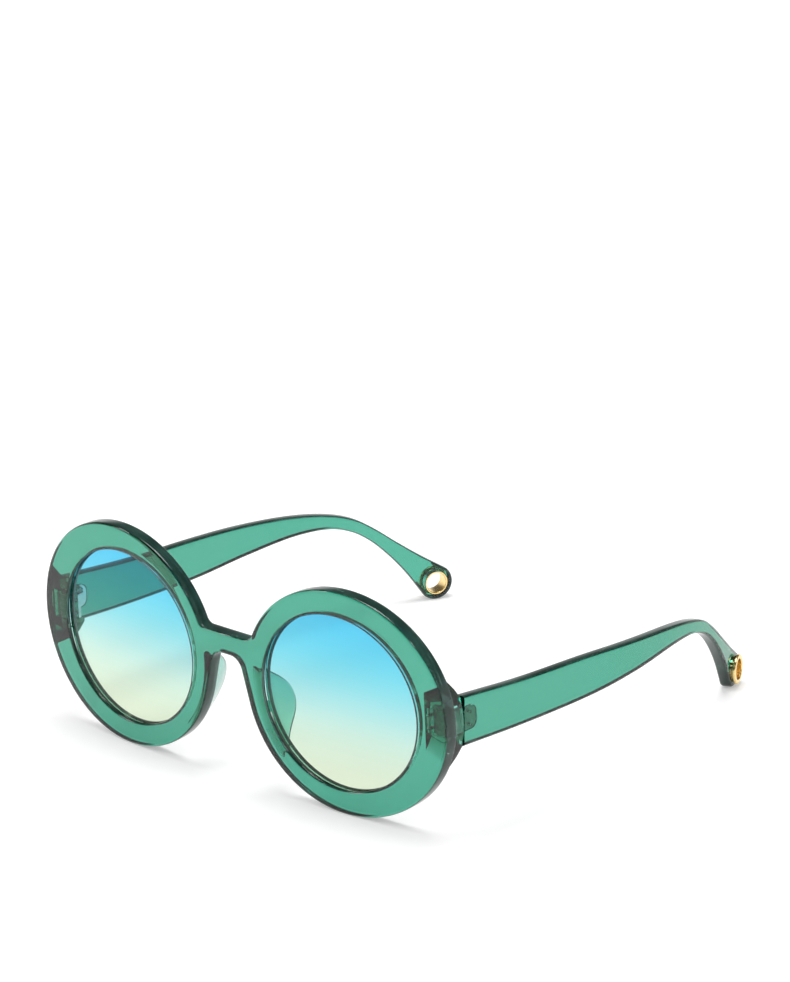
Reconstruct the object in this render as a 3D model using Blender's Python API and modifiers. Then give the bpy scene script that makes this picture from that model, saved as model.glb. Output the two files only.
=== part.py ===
"""Round sunglasses: a moulded translucent front with two lenses, and two temples on five-knuckle hinges,
each ending in a gold eyelet. Metres, +Z up. The front faces -Y and the glasses stand on their rims and tips.

Shapes are laid out with y measured from the middle of the front face. The root empty then centres them.
Everything is built for the +X side, the wearer's left, and mirrored for the other side."""

import math

import bmesh
import bpy
from mathutils import Matrix, Vector

# Front
LENS_OPENING_WIDTH = 0.0506
LENS_OPENING_HEIGHT = 0.0481
NOSE_GAP = 0.0263  # between the two lens openings
RIM_WIDTH_OUTER = 0.00975
RIM_WIDTH_NASAL = 0.0062
RIM_WIDTH_TOP = 0.0071
RIM_WIDTH_BOTTOM = 0.0067
FRONT_DEPTH = 0.0042
FRONT_ARC_RADIUS = 0.500  # the wrap of the front, seen from above
FRONT_EDGE_ROUND = 0.0008
FRONT_LEAN = math.radians(1.9)  # how far its top leans forwards as the glasses stand

# Bridge and nose arch, as heights above the middle of the lenses
BRIDGE_TOP_RISE = 0.0108
BRIDGE_HEIGHT = 0.0059
BRIDGE_TOP_FILLET = 0.0022
ARCH_CORNER_FILLET = 0.0040
ARCH_SIDE_ANGLE = math.radians(15)

# Moulded nose pads
PAD_TOP_RISE = 0.0030
PAD_BOTTOM_DROP = 0.0205
PAD_REACH = 0.0082  # how far the pad stands back behind the rim
PAD_FLARE = 0.0036  # how far it leans away from the nose
PAD_THICKNESS = 0.0021
PAD_INSET = 0.0013  # of its middle from the nasal edge of the rim
PAD_EMBED = 0.0015
PAD_REACH_SHARES = (0.02, 0.34, 0.66, 0.88, 0.98, 1.00, 0.94, 0.80, 0.61, 0.42, 0.24, 0.02)

# Lenses
LENS_THICKNESS = 0.0018
LENS_SETBACK = 0.0011  # behind the front face
LENS_SEAT = 0.0006  # how far the lens reaches into its groove
LENS_EDGE_CHAMFER = 0.0003
LENS_RING_SHARES = (0.25, 0.50, 0.75)

# End pieces behind the rims
BUTT_SETBACK = 0.0122  # of the end piece's back face, from the middle of the front face
END_PIECE_HALF_HEIGHT = 0.0069
END_PIECE_SPREAD = 0.0072  # how much taller it is where it leaves the rim
END_PIECE_LENS_SPREAD = 0.0048  # the same on its lens side
END_PIECE_LENS_HALF_HEIGHT = 0.0048
END_PIECE_LENS_LAND = 0.0009  # between the lens opening and the end piece
END_PIECE_EMBED = 0.0020
END_PIECE_EDGE_ROUND = 0.0003
END_PIECE_SIDE_SHARES = (-1.0, -0.5, 0.0, 0.5, 1.0)

# Temples
TEMPLE_THICKNESS = 0.0034
TEMPLE_SIDE_INSET = 0.0002  # of its outer face from the widest point of the front
TEMPLE_EDGE_ROUND = 0.0008
TEMPLE_ROOT_HEIGHT = 0.0136
TEMPLE_ROOT_RISE = 0.0006  # of its middle at the butt above the middle of the lenses
TEMPLE_REACH = 0.1294  # butt to eyelet centre, measured along the plan curve
TEMPLE_PLAN_STRAIGHT = 0.0555  # from the butt to where the plan curve starts
TEMPLE_PLAN_RADIUS = 0.157
TEMPLE_PLAN_TURN = math.radians(25)
BOSS_RADIUS = 0.0050
TEMPLE_ALONG_SHARES = (0.0, 0.18, 0.37, 0.52, 0.65, 0.74, 0.80, 0.85, 0.90, 0.95, 1.0)
TEMPLE_FALL_SHARES = (0.0, 0.047, 0.062, 0.057, 0.057, 0.100, 0.190, 0.339, 0.542, 0.765, 1.0)
TEMPLE_HEIGHT_SHARES = (1.0, 0.912, 0.830, 0.641, 0.425, 0.300, 0.271, 0.265, 0.325, 0.479)

# Hinges
HINGE_AXIS_INSET = 0.0018  # of the axis from the inner face of the temple
HINGE_AXIS_AHEAD = 0.0012  # of the axis from the end piece's back face
HINGE_RISE = 0.00015  # of the hinge's middle above the middle of the lenses
HINGE_HEIGHT = 0.0066
KNUCKLE_COUNT = 5
KNUCKLE_RADIUS = 0.0015
LEAF_THICKNESS = 0.0009
FRONT_LEAF_WIDTH = 0.0017
TEMPLE_LEAF_LENGTH = 0.0056  # behind the butt
TEMPLE_LEAF_HEIGHT = 0.0062
LEAF_NOSE = 0.0008  # of the temple leaf ahead of the axis
SCREW_RADIUS = 0.0006
SCREW_HEAD_RADIUS = 0.00125
SCREW_HEAD_HEIGHT = 0.0008
SCREW_SLOT_WIDTH = 0.0004
SCREW_SLOT_DEPTH = 0.00045
PIN_RADIUS = 0.00035
PIN_HEAD_RADIUS = 0.00062
PIN_HEAD_HEIGHT = 0.00025
PIN_LENGTH = 0.0022
PIN_SPREAD = 0.0018  # of each pin above and below the hinge's middle
TEMPLE_PIN_SETBACK = 0.0028  # behind the butt

# Eyelets
EYELET_BORE_RADIUS = 0.0029
EYELET_TUBE_RADIUS = 0.00335
EYELET_FLANGE_RADIUS = 0.0041
EYELET_FLANGE_THICKNESS = 0.0008
EYELET_NECK = 0.0005  # bare tube between the temple and the flange
EYELET_EDGE_ROUND = 0.00025

# Clearances
SEAT_GAP = 0.0002  # between plastic and what sits in it
HINGE_GAP = 0.00018  # between the hinge's metal pieces
BUTT_GAP = 0.0003  # between the end piece and the temple
CUT_OVERRUN = 0.0020

# Segments
RIM_STEPS = 54
LENS_STEPS = 64
FILLET_STEPS = 5
SPAN_STEPS = 4
BOSS_STEPS = 8
ROUND_STEPS = 24
PAD_RING_STEPS = 10

# Colours and finishes: colour, roughness, metallic
FRONT_GREEN = ((0.090, 0.420, 0.290, 1.0), 0.18, 0.0)
TEMPLE_GREEN = ((0.085, 0.400, 0.275, 1.0), 0.20, 0.0)
LENS_TINT = ((0.420, 0.800, 0.880, 1.0), 0.05, 0.0)
HINGE_STEEL = ((0.420, 0.440, 0.420, 1.0), 0.35, 1.0)
SCREW_STEEL = ((0.550, 0.550, 0.540, 1.0), 0.28, 1.0)
EYELET_GOLD = ((0.830, 0.580, 0.190, 1.0), 0.22, 1.0)

# Derived places
lens_x = (LENS_OPENING_WIDTH + NOSE_GAP) / 2
lens_z = RIM_WIDTH_BOTTOM + LENS_OPENING_HEIGHT / 2
rim_x = lens_x + (RIM_WIDTH_OUTER - RIM_WIDTH_NASAL) / 2
rim_z = lens_z + (RIM_WIDTH_TOP - RIM_WIDTH_BOTTOM) / 2
rim_half_width = (RIM_WIDTH_NASAL + LENS_OPENING_WIDTH + RIM_WIDTH_OUTER) / 2
rim_half_height = (RIM_WIDTH_TOP + LENS_OPENING_HEIGHT + RIM_WIDTH_BOTTOM) / 2
front_half_width = rim_x + rim_half_width
hinge_z = lens_z + HINGE_RISE
butt_y = BUTT_SETBACK + BUTT_GAP
temple_x = front_half_width - TEMPLE_SIDE_INSET - TEMPLE_THICKNESS / 2
temple_inner_x = temple_x - TEMPLE_THICKNESS / 2
hinge_x = temple_inner_x - HINGE_AXIS_INSET
hinge_y = BUTT_SETBACK - HINGE_AXIS_AHEAD
hinge_bottom = hinge_z - HINGE_HEIGHT / 2
hinge_top = hinge_z + HINGE_HEIGHT / 2
knuckle_height = (HINGE_HEIGHT - (KNUCKLE_COUNT - 1) * HINGE_GAP) / KNUCKLE_COUNT
eyelet_end = TEMPLE_THICKNESS / 2 + EYELET_NECK + EYELET_FLANGE_THICKNESS


def sweep(x):
    """How far back the front lies at x, on the arc that it is bent to."""
    return FRONT_ARC_RADIUS - math.sqrt(FRONT_ARC_RADIUS**2 - x * x)


foot = Vector((0, sweep(rim_x) + FRONT_EDGE_ROUND, 0))
front_lean = Matrix.Translation(foot) @ Matrix.Rotation(FRONT_LEAN, 4, "X") @ Matrix.Translation(-foot)
butt = front_lean @ Vector((temple_x, butt_y, hinge_z))
root_z = (front_lean @ Vector((0, 0, lens_z))).z + TEMPLE_ROOT_RISE


def plan(along, side):
    """Where a point of the temple lies from above: its distance along the plan curve and off its middle."""
    turn = min(max((along - TEMPLE_PLAN_STRAIGHT) / TEMPLE_PLAN_RADIUS, 0), TEMPLE_PLAN_TURN)
    straight = min(along, TEMPLE_PLAN_STRAIGHT)
    rest = max(along - TEMPLE_PLAN_STRAIGHT - TEMPLE_PLAN_RADIUS * TEMPLE_PLAN_TURN, 0)
    inward = TEMPLE_PLAN_RADIUS * (1 - math.cos(turn)) + rest * math.sin(turn)
    back = straight + TEMPLE_PLAN_RADIUS * math.sin(turn) + rest * math.cos(turn)
    return butt.x - inward + side * math.cos(turn), butt.y + back + side * math.sin(turn)


def foremost():
    """The y of the leaning rims where they reach farthest ahead."""
    reached = []
    for i in range(RIM_STEPS):
        angle = 2 * math.pi * i / RIM_STEPS
        x = rim_x + (rim_half_width - FRONT_EDGE_ROUND) * math.cos(angle)
        z = rim_z + (rim_half_height - FRONT_EDGE_ROUND) * math.sin(angle)
        reached.append((front_lean @ Vector((x, sweep(x), z))).y)
    return min(reached)


eyelet_x, eyelet_y = plan(TEMPLE_REACH, 0)
rearmost = eyelet_y + BOSS_RADIUS * math.cos(TEMPLE_PLAN_TURN)
rearmost += (TEMPLE_THICKNESS / 2 - TEMPLE_EDGE_ROUND) * math.sin(TEMPLE_PLAN_TURN)


def clear_scene():
    for obj in list(bpy.data.objects):
        bpy.data.objects.remove(obj, do_unlink=True)


def new_collection(name):
    collection = bpy.data.collections.new(name)
    bpy.context.scene.collection.children.link(collection)
    return collection


def new_material(name, finish):
    colour, roughness, metallic = finish
    material = bpy.data.materials.new(name)
    material.use_nodes = True
    shader = material.node_tree.nodes["Principled BSDF"]
    shader.inputs["Base Color"].default_value = colour
    shader.inputs["Roughness"].default_value = roughness
    shader.inputs["Metallic"].default_value = metallic
    material.diffuse_color = colour
    return material


def object_of(name, mesh, collection):
    obj = bpy.data.objects.new(name, mesh)
    collection.objects.link(obj)
    return obj


def mesh_of(name, form):
    """The mesh of a bmesh, with flat faces that all point outwards."""
    bmesh.ops.triangulate(form, faces=form.faces)
    bmesh.ops.recalc_face_normals(form, faces=form.faces)
    mesh = bpy.data.meshes.new(name)
    form.to_mesh(mesh)
    form.free()
    return mesh


def baked(obj, weld):
    """The evaluated mesh of an object that stands at the origin, welded. The object is removed."""
    graph = bpy.context.evaluated_depsgraph_get()
    mesh = bpy.data.meshes.new_from_object(obj.evaluated_get(graph))
    bpy.data.objects.remove(obj, do_unlink=True)
    form = bmesh.new()
    form.from_mesh(mesh)
    bmesh.ops.remove_doubles(form, verts=form.verts, dist=weld)
    bpy.data.meshes.remove(mesh)
    return form


def turned_form(profile, steps):
    """A body turned about Z from (radius, height) points. A closed profile makes a ring."""
    mesh = bpy.data.meshes.new("profile")
    on_axis = profile[0][0] == 0
    edges = [(i, i + 1) for i in range(len(profile) - 1)]
    if not on_axis:
        edges.append((len(profile) - 1, 0))
    mesh.from_pydata([(radius, 0, height) for radius, height in profile], edges, [])
    obj = object_of("profile", mesh, bpy.context.scene.collection)
    screw = obj.modifiers.new("turn", "SCREW")
    screw.steps = screw.render_steps = steps
    screw.use_merge_vertices = True
    screw.merge_threshold = HINGE_GAP / 100
    form = baked(obj, HINGE_GAP / 100)
    bpy.data.meshes.remove(mesh)
    return form


def move(form, matrix):
    bmesh.ops.transform(form, matrix=matrix, verts=form.verts)


def rounded(form, edges, radius):
    bmesh.ops.bevel(form, geom=edges, offset=radius, segments=2, profile=0.5, affect="EDGES")


def box_mesh(name, low, high):
    form = bmesh.new()
    bmesh.ops.create_cube(form, size=1)
    size = [b - a for a, b in zip(low, high)]
    middle = [(a + b) / 2 for a, b in zip(low, high)]
    move(form, Matrix.Translation(middle) @ Matrix.Diagonal((*size, 1)))
    return mesh_of(name, form)


def rod_form(radius, start, end):
    """A cylinder between two points."""
    start, end = Vector(start), Vector(end)
    form = bmesh.new()
    bmesh.ops.create_cone(
        form,
        cap_ends=True,
        segments=ROUND_STEPS,
        radius1=radius,
        radius2=radius,
        depth=(end - start).length,
    )
    turn = (end - start).to_track_quat("Z", "Y").to_matrix().to_4x4()
    move(form, Matrix.Translation((start + end) / 2) @ turn)
    return form


def rod_mesh(name, radius, start, end):
    return mesh_of(name, rod_form(radius, start, end))


def sided(mesh, side):
    """The mesh itself for the +X side, or turned into its mirror image for the other side."""
    if side > 0:
        return mesh
    name = mesh.name
    form = bmesh.new()
    form.from_mesh(mesh)
    bpy.data.meshes.remove(mesh)
    move(form, Matrix.Diagonal((-1, 1, 1, 1)))
    return mesh_of(name, form)


def pair(mesh):
    """The mesh of a +X side together with its mirror image."""
    name = mesh.name
    form = bmesh.new()
    form.from_mesh(mesh)
    bpy.data.meshes.remove(mesh)
    copy = bmesh.ops.duplicate(form, geom=form.verts[:] + form.edges[:] + form.faces[:])
    copied = [item for item in copy["geom"] if isinstance(item, bmesh.types.BMVert)]
    bmesh.ops.scale(form, vec=(-1, 1, 1), verts=copied)
    return mesh_of(name, form)


def combine(obj, tool_mesh, operation):
    """Cuts or joins a mesh, kept as a hidden cutter, to an object."""
    tool = object_of(tool_mesh.name, tool_mesh, cutters)
    tool.hide_render = True
    tool.display_type = "WIRE"
    tool.parent = root
    modifier = obj.modifiers.new(tool_mesh.name, "BOOLEAN")
    modifier.operation = operation
    modifier.object = tool


def leaning(mesh):
    """A piece of the front or of a hinge, moved from its upright layout to the lean of the standing glasses."""
    mesh.transform(front_lean)
    return mesh


def part(name, mesh, material, parent):
    """A finished piece. Its mesh is laid out from the root, and its origin goes to that of its parent."""
    mesh.transform(layout(parent).inverted())
    mesh.materials.clear()
    mesh.materials.append(material)
    obj = object_of(name, mesh, parts)
    obj.parent = parent
    return obj


def layout(parent):
    return parent.matrix_basis if parent.parent else Matrix.Identity(4)


def ellipse(centre, half_width, half_height, start, end, steps):
    """Points of an ellipse from one angle to another, both ends included."""
    points = []
    for i in range(steps + 1):
        angle = start + (end - start) * i / steps
        points.append((centre[0] + half_width * math.cos(angle), centre[1] + half_height * math.sin(angle)))
    return points


def rim_normal(angle):
    """The outward normal of the outer rim ellipse."""
    across, up = math.cos(angle) / rim_half_width, math.sin(angle) / rim_half_height
    length = math.hypot(across, up)
    return across / length, up / length


def rim_side_x(z):
    """How far out the rim reaches at a height."""
    return rim_x + rim_half_width * math.sqrt(1 - ((z - rim_z) / rim_half_height) ** 2)


def bridge_fillet():
    """The concave arc from the top of the bridge to the rim, and the rim angle where it lands."""
    centre_z = lens_z + BRIDGE_TOP_RISE + BRIDGE_TOP_FILLET
    low, high = math.pi / 2, math.pi
    for _ in range(60):
        angle = (low + high) / 2
        up = rim_z + rim_half_height * math.sin(angle) + BRIDGE_TOP_FILLET * rim_normal(angle)[1]
        low, high = (angle, high) if up > centre_z else (low, angle)
    out, rise = rim_normal(angle)
    centre_x = rim_x + rim_half_width * math.cos(angle) + BRIDGE_TOP_FILLET * out
    end = math.atan2(-rise, -out)
    fillet = ellipse(
        (centre_x, centre_z), BRIDGE_TOP_FILLET, BRIDGE_TOP_FILLET, -math.pi / 2, end, FILLET_STEPS
    )
    return fillet, angle


def nose_arch():
    """The corner arc under the bridge, and the rim angle that the arch's sloping side runs into."""
    slope = math.tan(ARCH_SIDE_ANGLE)
    angle = math.pi + math.atan(slope * rim_half_height / rim_half_width)
    foot_x = rim_x + rim_half_width * math.cos(angle)
    foot_z = rim_z + rim_half_height * math.sin(angle)
    arch_z = lens_z + BRIDGE_TOP_RISE - BRIDGE_HEIGHT
    corner_x = foot_x - slope * (arch_z - foot_z)
    turn = math.pi / 2 - ARCH_SIDE_ANGLE
    centre = (corner_x - ARCH_CORNER_FILLET * math.tan(turn / 2), arch_z - ARCH_CORNER_FILLET)
    corner = ellipse(
        centre, ARCH_CORNER_FILLET, ARCH_CORNER_FILLET, ARCH_SIDE_ANGLE, math.pi / 2, FILLET_STEPS
    )
    return corner, angle


def front_stations():
    """Places round the half front, each with the outward normal there and the angle of the opening that it faces.

    They go round the rim from the bridge's top to the nose, up the arch, and along the top of the bridge. The
    arch faces the opening along lines to the lens's middle at the height of the bridge's top, which clear it.
    """
    fillet, start = bridge_fillet()
    corner, end = nose_arch()
    stations = []
    for i in range(RIM_STEPS + 1):
        angle = start - (start + 2 * math.pi - end) * i / RIM_STEPS
        place = (rim_x + rim_half_width * math.cos(angle), rim_z + rim_half_height * math.sin(angle))
        stations.append((place, rim_normal(angle), angle))
    top_z = lens_z + BRIDGE_TOP_RISE
    for i, (x, z) in enumerate(corner + [(0, corner[-1][1])]):
        turn = ARCH_SIDE_ANGLE + (math.pi / 2 - ARCH_SIDE_ANGLE) * min(i / FILLET_STEPS, 1)
        passing = z + (top_z - z) * (NOSE_GAP / 2 - x) / (lens_x - x)
        facing = math.pi - math.asin((passing - lens_z) / (LENS_OPENING_HEIGHT / 2))
        stations.append(((x, z), (-math.cos(turn), -math.sin(turn)), facing))
    last = stations[-1][2]
    landing = math.atan2(-rim_normal(start)[1], -rim_normal(start)[0])
    for i, (x, z) in enumerate([(0, top_z)] + fillet[:-1]):
        turn = -math.pi / 2 + (landing + math.pi / 2) * max(i - 1, 0) / FILLET_STEPS
        facing = last + (start - last) * (i + 1) / (FILLET_STEPS + 2)
        stations.append(((x, z), (-math.cos(turn), -math.sin(turn)), facing))
    return stations


def edge_section(depth, radius):
    """A plate's rounded edge as (inset, y) points, from its front face round to its back."""
    turns = (0, math.pi / 4, math.pi / 2)
    front = [(radius * (1 - math.sin(turn)), radius * (1 - math.cos(turn))) for turn in turns]
    return front + [(inset, depth - y) for inset, y in reversed(front)]


def front_half_form():
    """The flat +X half of the front: sections across its rim, joined round the opening and open at the middle."""
    section = edge_section(FRONT_DEPTH, FRONT_EDGE_ROUND)
    form = bmesh.new()
    rings = []
    for (x, z), (across, up), facing in front_stations():
        ring = [(x - across * inset, y, z - up * inset) for inset, y in section]
        inner_x = lens_x + LENS_OPENING_WIDTH / 2 * math.cos(facing)
        inner_z = lens_z + LENS_OPENING_HEIGHT / 2 * math.sin(facing)
        normal = Vector((math.cos(facing) / LENS_OPENING_WIDTH, math.sin(facing) / LENS_OPENING_HEIGHT))
        normal.normalize()
        ring += [(inner_x + normal.x * inset, y, inner_z + normal.y * inset) for inset, y in reversed(section)]
        rings.append([form.verts.new(point) for point in ring])
    at_middle = HINGE_GAP / 100
    for ring, after in zip(rings, rings[1:] + rings[:1]):
        for j in range(len(ring)):
            corners = (ring[j - 1], after[j - 1], after[j], ring[j])
            if max(corner.co.x for corner in corners) > at_middle:
                form.faces.new(corners)
    return form


def bend_front(form):
    for vertex in form.verts:
        vertex.co.y += sweep(vertex.co.x)


def front_plate_mesh(name):
    form = front_half_form()
    copy = bmesh.ops.duplicate(form, geom=form.verts[:] + form.edges[:] + form.faces[:])
    copied = [item for item in copy["geom"] if isinstance(item, bmesh.types.BMVert)]
    bmesh.ops.scale(form, vec=(-1, 1, 1), verts=copied)
    bmesh.ops.remove_doubles(form, verts=form.verts, dist=HINGE_GAP / 100)
    bend_front(form)
    return mesh_of(name, form)


def lens_form(reach, front, back, chamfer):
    """A lens, or the groove that takes it: a thin turned disc, drawn out to the opening's shape and bent."""
    half_width = LENS_OPENING_WIDTH / 2 + reach
    half_height = LENS_OPENING_HEIGHT / 2 + reach
    shares = [0, *LENS_RING_SHARES]
    face = half_width - chamfer
    profile = [(share * face, front) for share in shares] + [(face, front)]
    profile += [(half_width, front + chamfer), (half_width, back - chamfer)]
    profile += [(face, back)] + [(share * face, back) for share in reversed(shares)]
    form = turned_form(profile, LENS_STEPS)
    lie = Matrix.Rotation(-math.pi / 2, 4, "X")
    squash = Matrix.Diagonal((1, 1, half_height / half_width, 1))
    move(form, Matrix.Translation((lens_x, 0, lens_z)) @ squash @ lie)
    bend_front(form)
    return form


def lens_mesh(name):
    return mesh_of(name, lens_form(LENS_SEAT, LENS_SETBACK, LENS_SETBACK + LENS_THICKNESS, LENS_EDGE_CHAMFER))


def groove_mesh(name):
    front = LENS_SETBACK - SEAT_GAP
    back = LENS_SETBACK + LENS_THICKNESS + SEAT_GAP
    return mesh_of(name, lens_form(LENS_SEAT + SEAT_GAP, front, back, LENS_EDGE_CHAMFER))


def end_piece_mesh(name):
    """The block behind the rim that the temple butts on: a hull from the rim to the flat back face."""
    lens_side = lens_x + LENS_OPENING_WIDTH / 2 + END_PIECE_LENS_LAND
    points = []
    for y, spread, lens_spread in ((BUTT_SETBACK, 0, 0), (None, END_PIECE_SPREAD, END_PIECE_LENS_SPREAD)):
        for share in END_PIECE_SIDE_SHARES:
            z = hinge_z + share * (END_PIECE_HALF_HEIGHT + spread)
            x = rim_side_x(z) - SEAT_GAP / 2
            points.append((x, y or sweep(x) + FRONT_DEPTH - END_PIECE_EMBED, z))
        for end in (-1, 1):
            z = hinge_z + end * (END_PIECE_LENS_HALF_HEIGHT + lens_spread)
            points.append((lens_side, y or sweep(lens_side) + FRONT_DEPTH - END_PIECE_EMBED, z))
    form = bmesh.new()
    for point in points:
        form.verts.new(point)
    bmesh.ops.convex_hull(form, input=form.verts)
    bmesh.ops.dissolve_limit(form, angle_limit=math.radians(1), verts=form.verts, edges=form.edges)
    rim = [edge for edge in form.edges if all(v.co.y > BUTT_SETBACK - SEAT_GAP for v in edge.verts)]
    rounded(form, rim, END_PIECE_EDGE_ROUND)
    return mesh_of(name, form)


def pad_mesh(name):
    """A nose pad: rounded slats lofted down the nasal side of the rim, reaching back and leaning outwards."""
    form = bmesh.new()
    loops = []
    last = len(PAD_REACH_SHARES) - 1
    for i, share in enumerate(PAD_REACH_SHARES):
        z = lens_z + PAD_TOP_RISE - (PAD_TOP_RISE + PAD_BOTTOM_DROP) * i / last
        nasal_x = 2 * rim_x - rim_side_x(z)
        base = Vector((nasal_x + PAD_INSET, FRONT_DEPTH + sweep(nasal_x) - PAD_EMBED))
        lean = Vector((PAD_FLARE, PAD_REACH)) * share
        half = PAD_THICKNESS / 2
        length = lean.length + PAD_EMBED
        along = Vector((PAD_FLARE, PAD_REACH)).normalized()
        across = Vector((along.y, -along.x))
        loop = []
        for k in range(PAD_RING_STEPS):
            angle = 2 * math.pi * k / PAD_RING_STEPS
            stretch = length - half if math.sin(angle) > 0 else 0
            place = base + along * (half * math.sin(angle) + stretch) + across * half * math.cos(angle)
            loop.append(form.verts.new((place.x, place.y, z)))
        loops.append(loop)
    for upper, lower in zip(loops, loops[1:]):
        for k in range(PAD_RING_STEPS):
            after = (k + 1) % PAD_RING_STEPS
            form.faces.new((upper[k], upper[after], lower[after], lower[k]))
    form.faces.new(loops[0])
    form.faces.new(loops[-1])
    return mesh_of(name, form)


def hinge_pocket_mesh(name):
    """The slot in the end piece that clears the barrel and the temple leaf."""
    clear = KNUCKLE_RADIUS + HINGE_GAP + SEAT_GAP
    low = (hinge_x - clear, hinge_y - clear, hinge_bottom - SEAT_GAP)
    high = (
        temple_inner_x + LEAF_THICKNESS + SEAT_GAP,
        BUTT_SETBACK + CUT_OVERRUN,
        hinge_top + SCREW_HEAD_HEIGHT + HINGE_GAP + SEAT_GAP,
    )
    return box_mesh(name, low, high)


def front_leaf_box():
    """The corners of the front leaf's plate, beside the barrel on the lens side."""
    out = hinge_x - KNUCKLE_RADIUS - HINGE_GAP
    low = (out - FRONT_LEAF_WIDTH, hinge_y - LEAF_THICKNESS, hinge_bottom)
    return low, (out, hinge_y, hinge_top)


def leaf_pocket_mesh(name):
    low, high = front_leaf_box()
    low = [value - SEAT_GAP for value in low]
    high = (high[0], BUTT_SETBACK + CUT_OVERRUN, high[2] + SEAT_GAP)
    return box_mesh(name, low, high)


def pin_ends(leaf):
    """Where the two pins of a leaf start, at their heads, and which way they run."""
    if leaf == "front":
        low, high = front_leaf_box()
        place = Vector(((low[0] + high[0]) / 2, hinge_y, 0))
        run = Vector((0, -1, 0))
    else:
        place = Vector((temple_inner_x, butt_y + TEMPLE_PIN_SETBACK, 0))
        run = Vector((1, 0, 0))
    starts = {}
    for level, sign in (("upper", 1), ("lower", -1)):
        starts[level] = place + Vector((0, 0, hinge_z + sign * PIN_SPREAD))
    return starts, run


def pin_mesh(name, start, run):
    profile = [
        (0, 0),
        (PIN_RADIUS, 0),
        (PIN_RADIUS, PIN_LENGTH),
        (PIN_HEAD_RADIUS, PIN_LENGTH),
        (PIN_HEAD_RADIUS, PIN_LENGTH + PIN_HEAD_HEIGHT / 2),
        (PIN_RADIUS, PIN_LENGTH + PIN_HEAD_HEIGHT),
        (0, PIN_LENGTH + PIN_HEAD_HEIGHT),
    ]
    form = turned_form(profile, ROUND_STEPS // 2)
    turn = (-run).to_track_quat("Z", "Y").to_matrix().to_4x4()
    head_gap = HINGE_GAP / 2
    move(form, Matrix.Translation(start + run * (PIN_LENGTH - head_gap)) @ turn)
    return mesh_of(name, form)


def pin_hole_mesh(name, start, run):
    return rod_mesh(name, PIN_RADIUS + HINGE_GAP / 2, start - run * CUT_OVERRUN, start + run * (PIN_LENGTH + SEAT_GAP))


def knuckle_levels(which):
    """The bottom heights of every other knuckle: three on the front leaf, two on the temple leaf."""
    first = 0 if which == "front" else 1
    step = knuckle_height + HINGE_GAP
    return [hinge_bottom + i * step for i in range(first, KNUCKLE_COUNT, 2)]


def leaf_mesh(name, which, plate):
    """A hinge leaf: its plate, and for each knuckle a short barrel with the web that carries it."""
    obj = object_of(name, plate, bpy.context.scene.collection)
    tools = []
    for level in knuckle_levels(which):
        top = level + knuckle_height
        barrel = rod_mesh("barrel", KNUCKLE_RADIUS, (hinge_x, hinge_y, level), (hinge_x, hinge_y, top))
        if which == "front":
            low, high = front_leaf_box()
            web_low = (low[0] + FRONT_LEAF_WIDTH / 2, hinge_y - LEAF_THICKNESS, level)
            web_high = (hinge_x, hinge_y, top)
        else:
            web_low = (hinge_x, hinge_y - LEAF_NOSE, level)
            web_high = (temple_inner_x + LEAF_THICKNESS / 2, hinge_y + LEAF_NOSE, top)
        tools += [(barrel, "UNION"), (box_mesh("web", web_low, web_high), "UNION")]
    reach = HINGE_HEIGHT / 2 + CUT_OVERRUN
    bore = rod_mesh(
        "bore",
        SCREW_RADIUS + HINGE_GAP,
        (hinge_x, hinge_y, hinge_z - reach),
        (hinge_x, hinge_y, hinge_z + reach),
    )
    tools.append((bore, "DIFFERENCE"))
    starts, run = pin_ends(which)
    for start in starts.values():
        hole = rod_mesh("hole", PIN_RADIUS + HINGE_GAP / 2, start - run * CUT_OVERRUN, start + run * CUT_OVERRUN)
        tools.append((hole, "DIFFERENCE"))
    helpers = []
    for mesh, operation in tools:
        helper = object_of("helper", mesh, bpy.context.scene.collection)
        helpers.append(helper)
        modifier = obj.modifiers.new(operation, "BOOLEAN")
        modifier.operation = operation
        modifier.object = helper
    form = baked(obj, HINGE_GAP / 100)
    for helper in helpers:
        bpy.data.objects.remove(helper, do_unlink=True)
    return mesh_of(name, form)


def front_leaf_mesh(name):
    return leaf_mesh(name, "front", box_mesh("plate", *front_leaf_box()))


def temple_leaf_plate(name, grow, height_grow):
    """The temple leaf's plate, square ahead of the butt and round behind it. Grown, it is the pocket for it."""
    half = TEMPLE_LEAF_HEIGHT / 2 + height_grow
    end = butt_y + TEMPLE_LEAF_LENGTH + grow
    corner = TEMPLE_LEAF_HEIGHT / 3
    front = hinge_y - LEAF_NOSE
    outline = [(front, hinge_z - half)]
    outline += ellipse((end - corner, hinge_z - half + corner), corner, corner, -math.pi / 2, 0, FILLET_STEPS)
    outline += ellipse((end - corner, hinge_z + half - corner), corner, corner, 0, math.pi / 2, FILLET_STEPS)
    outline.append((front, hinge_z + half))
    form = bmesh.new()
    face = form.faces.new([form.verts.new((temple_inner_x - grow, y, z)) for y, z in outline])
    depth = LEAF_THICKNESS + 2 * grow
    solid = bmesh.ops.extrude_face_region(form, geom=[face])
    moved = [item for item in solid["geom"] if isinstance(item, bmesh.types.BMVert)]
    bmesh.ops.translate(form, vec=(depth, 0, 0), verts=moved)
    return mesh_of(name, form)


def temple_leaf_mesh(name):
    return leaf_mesh(name, "temple", temple_leaf_plate("plate", 0, 0))


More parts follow.
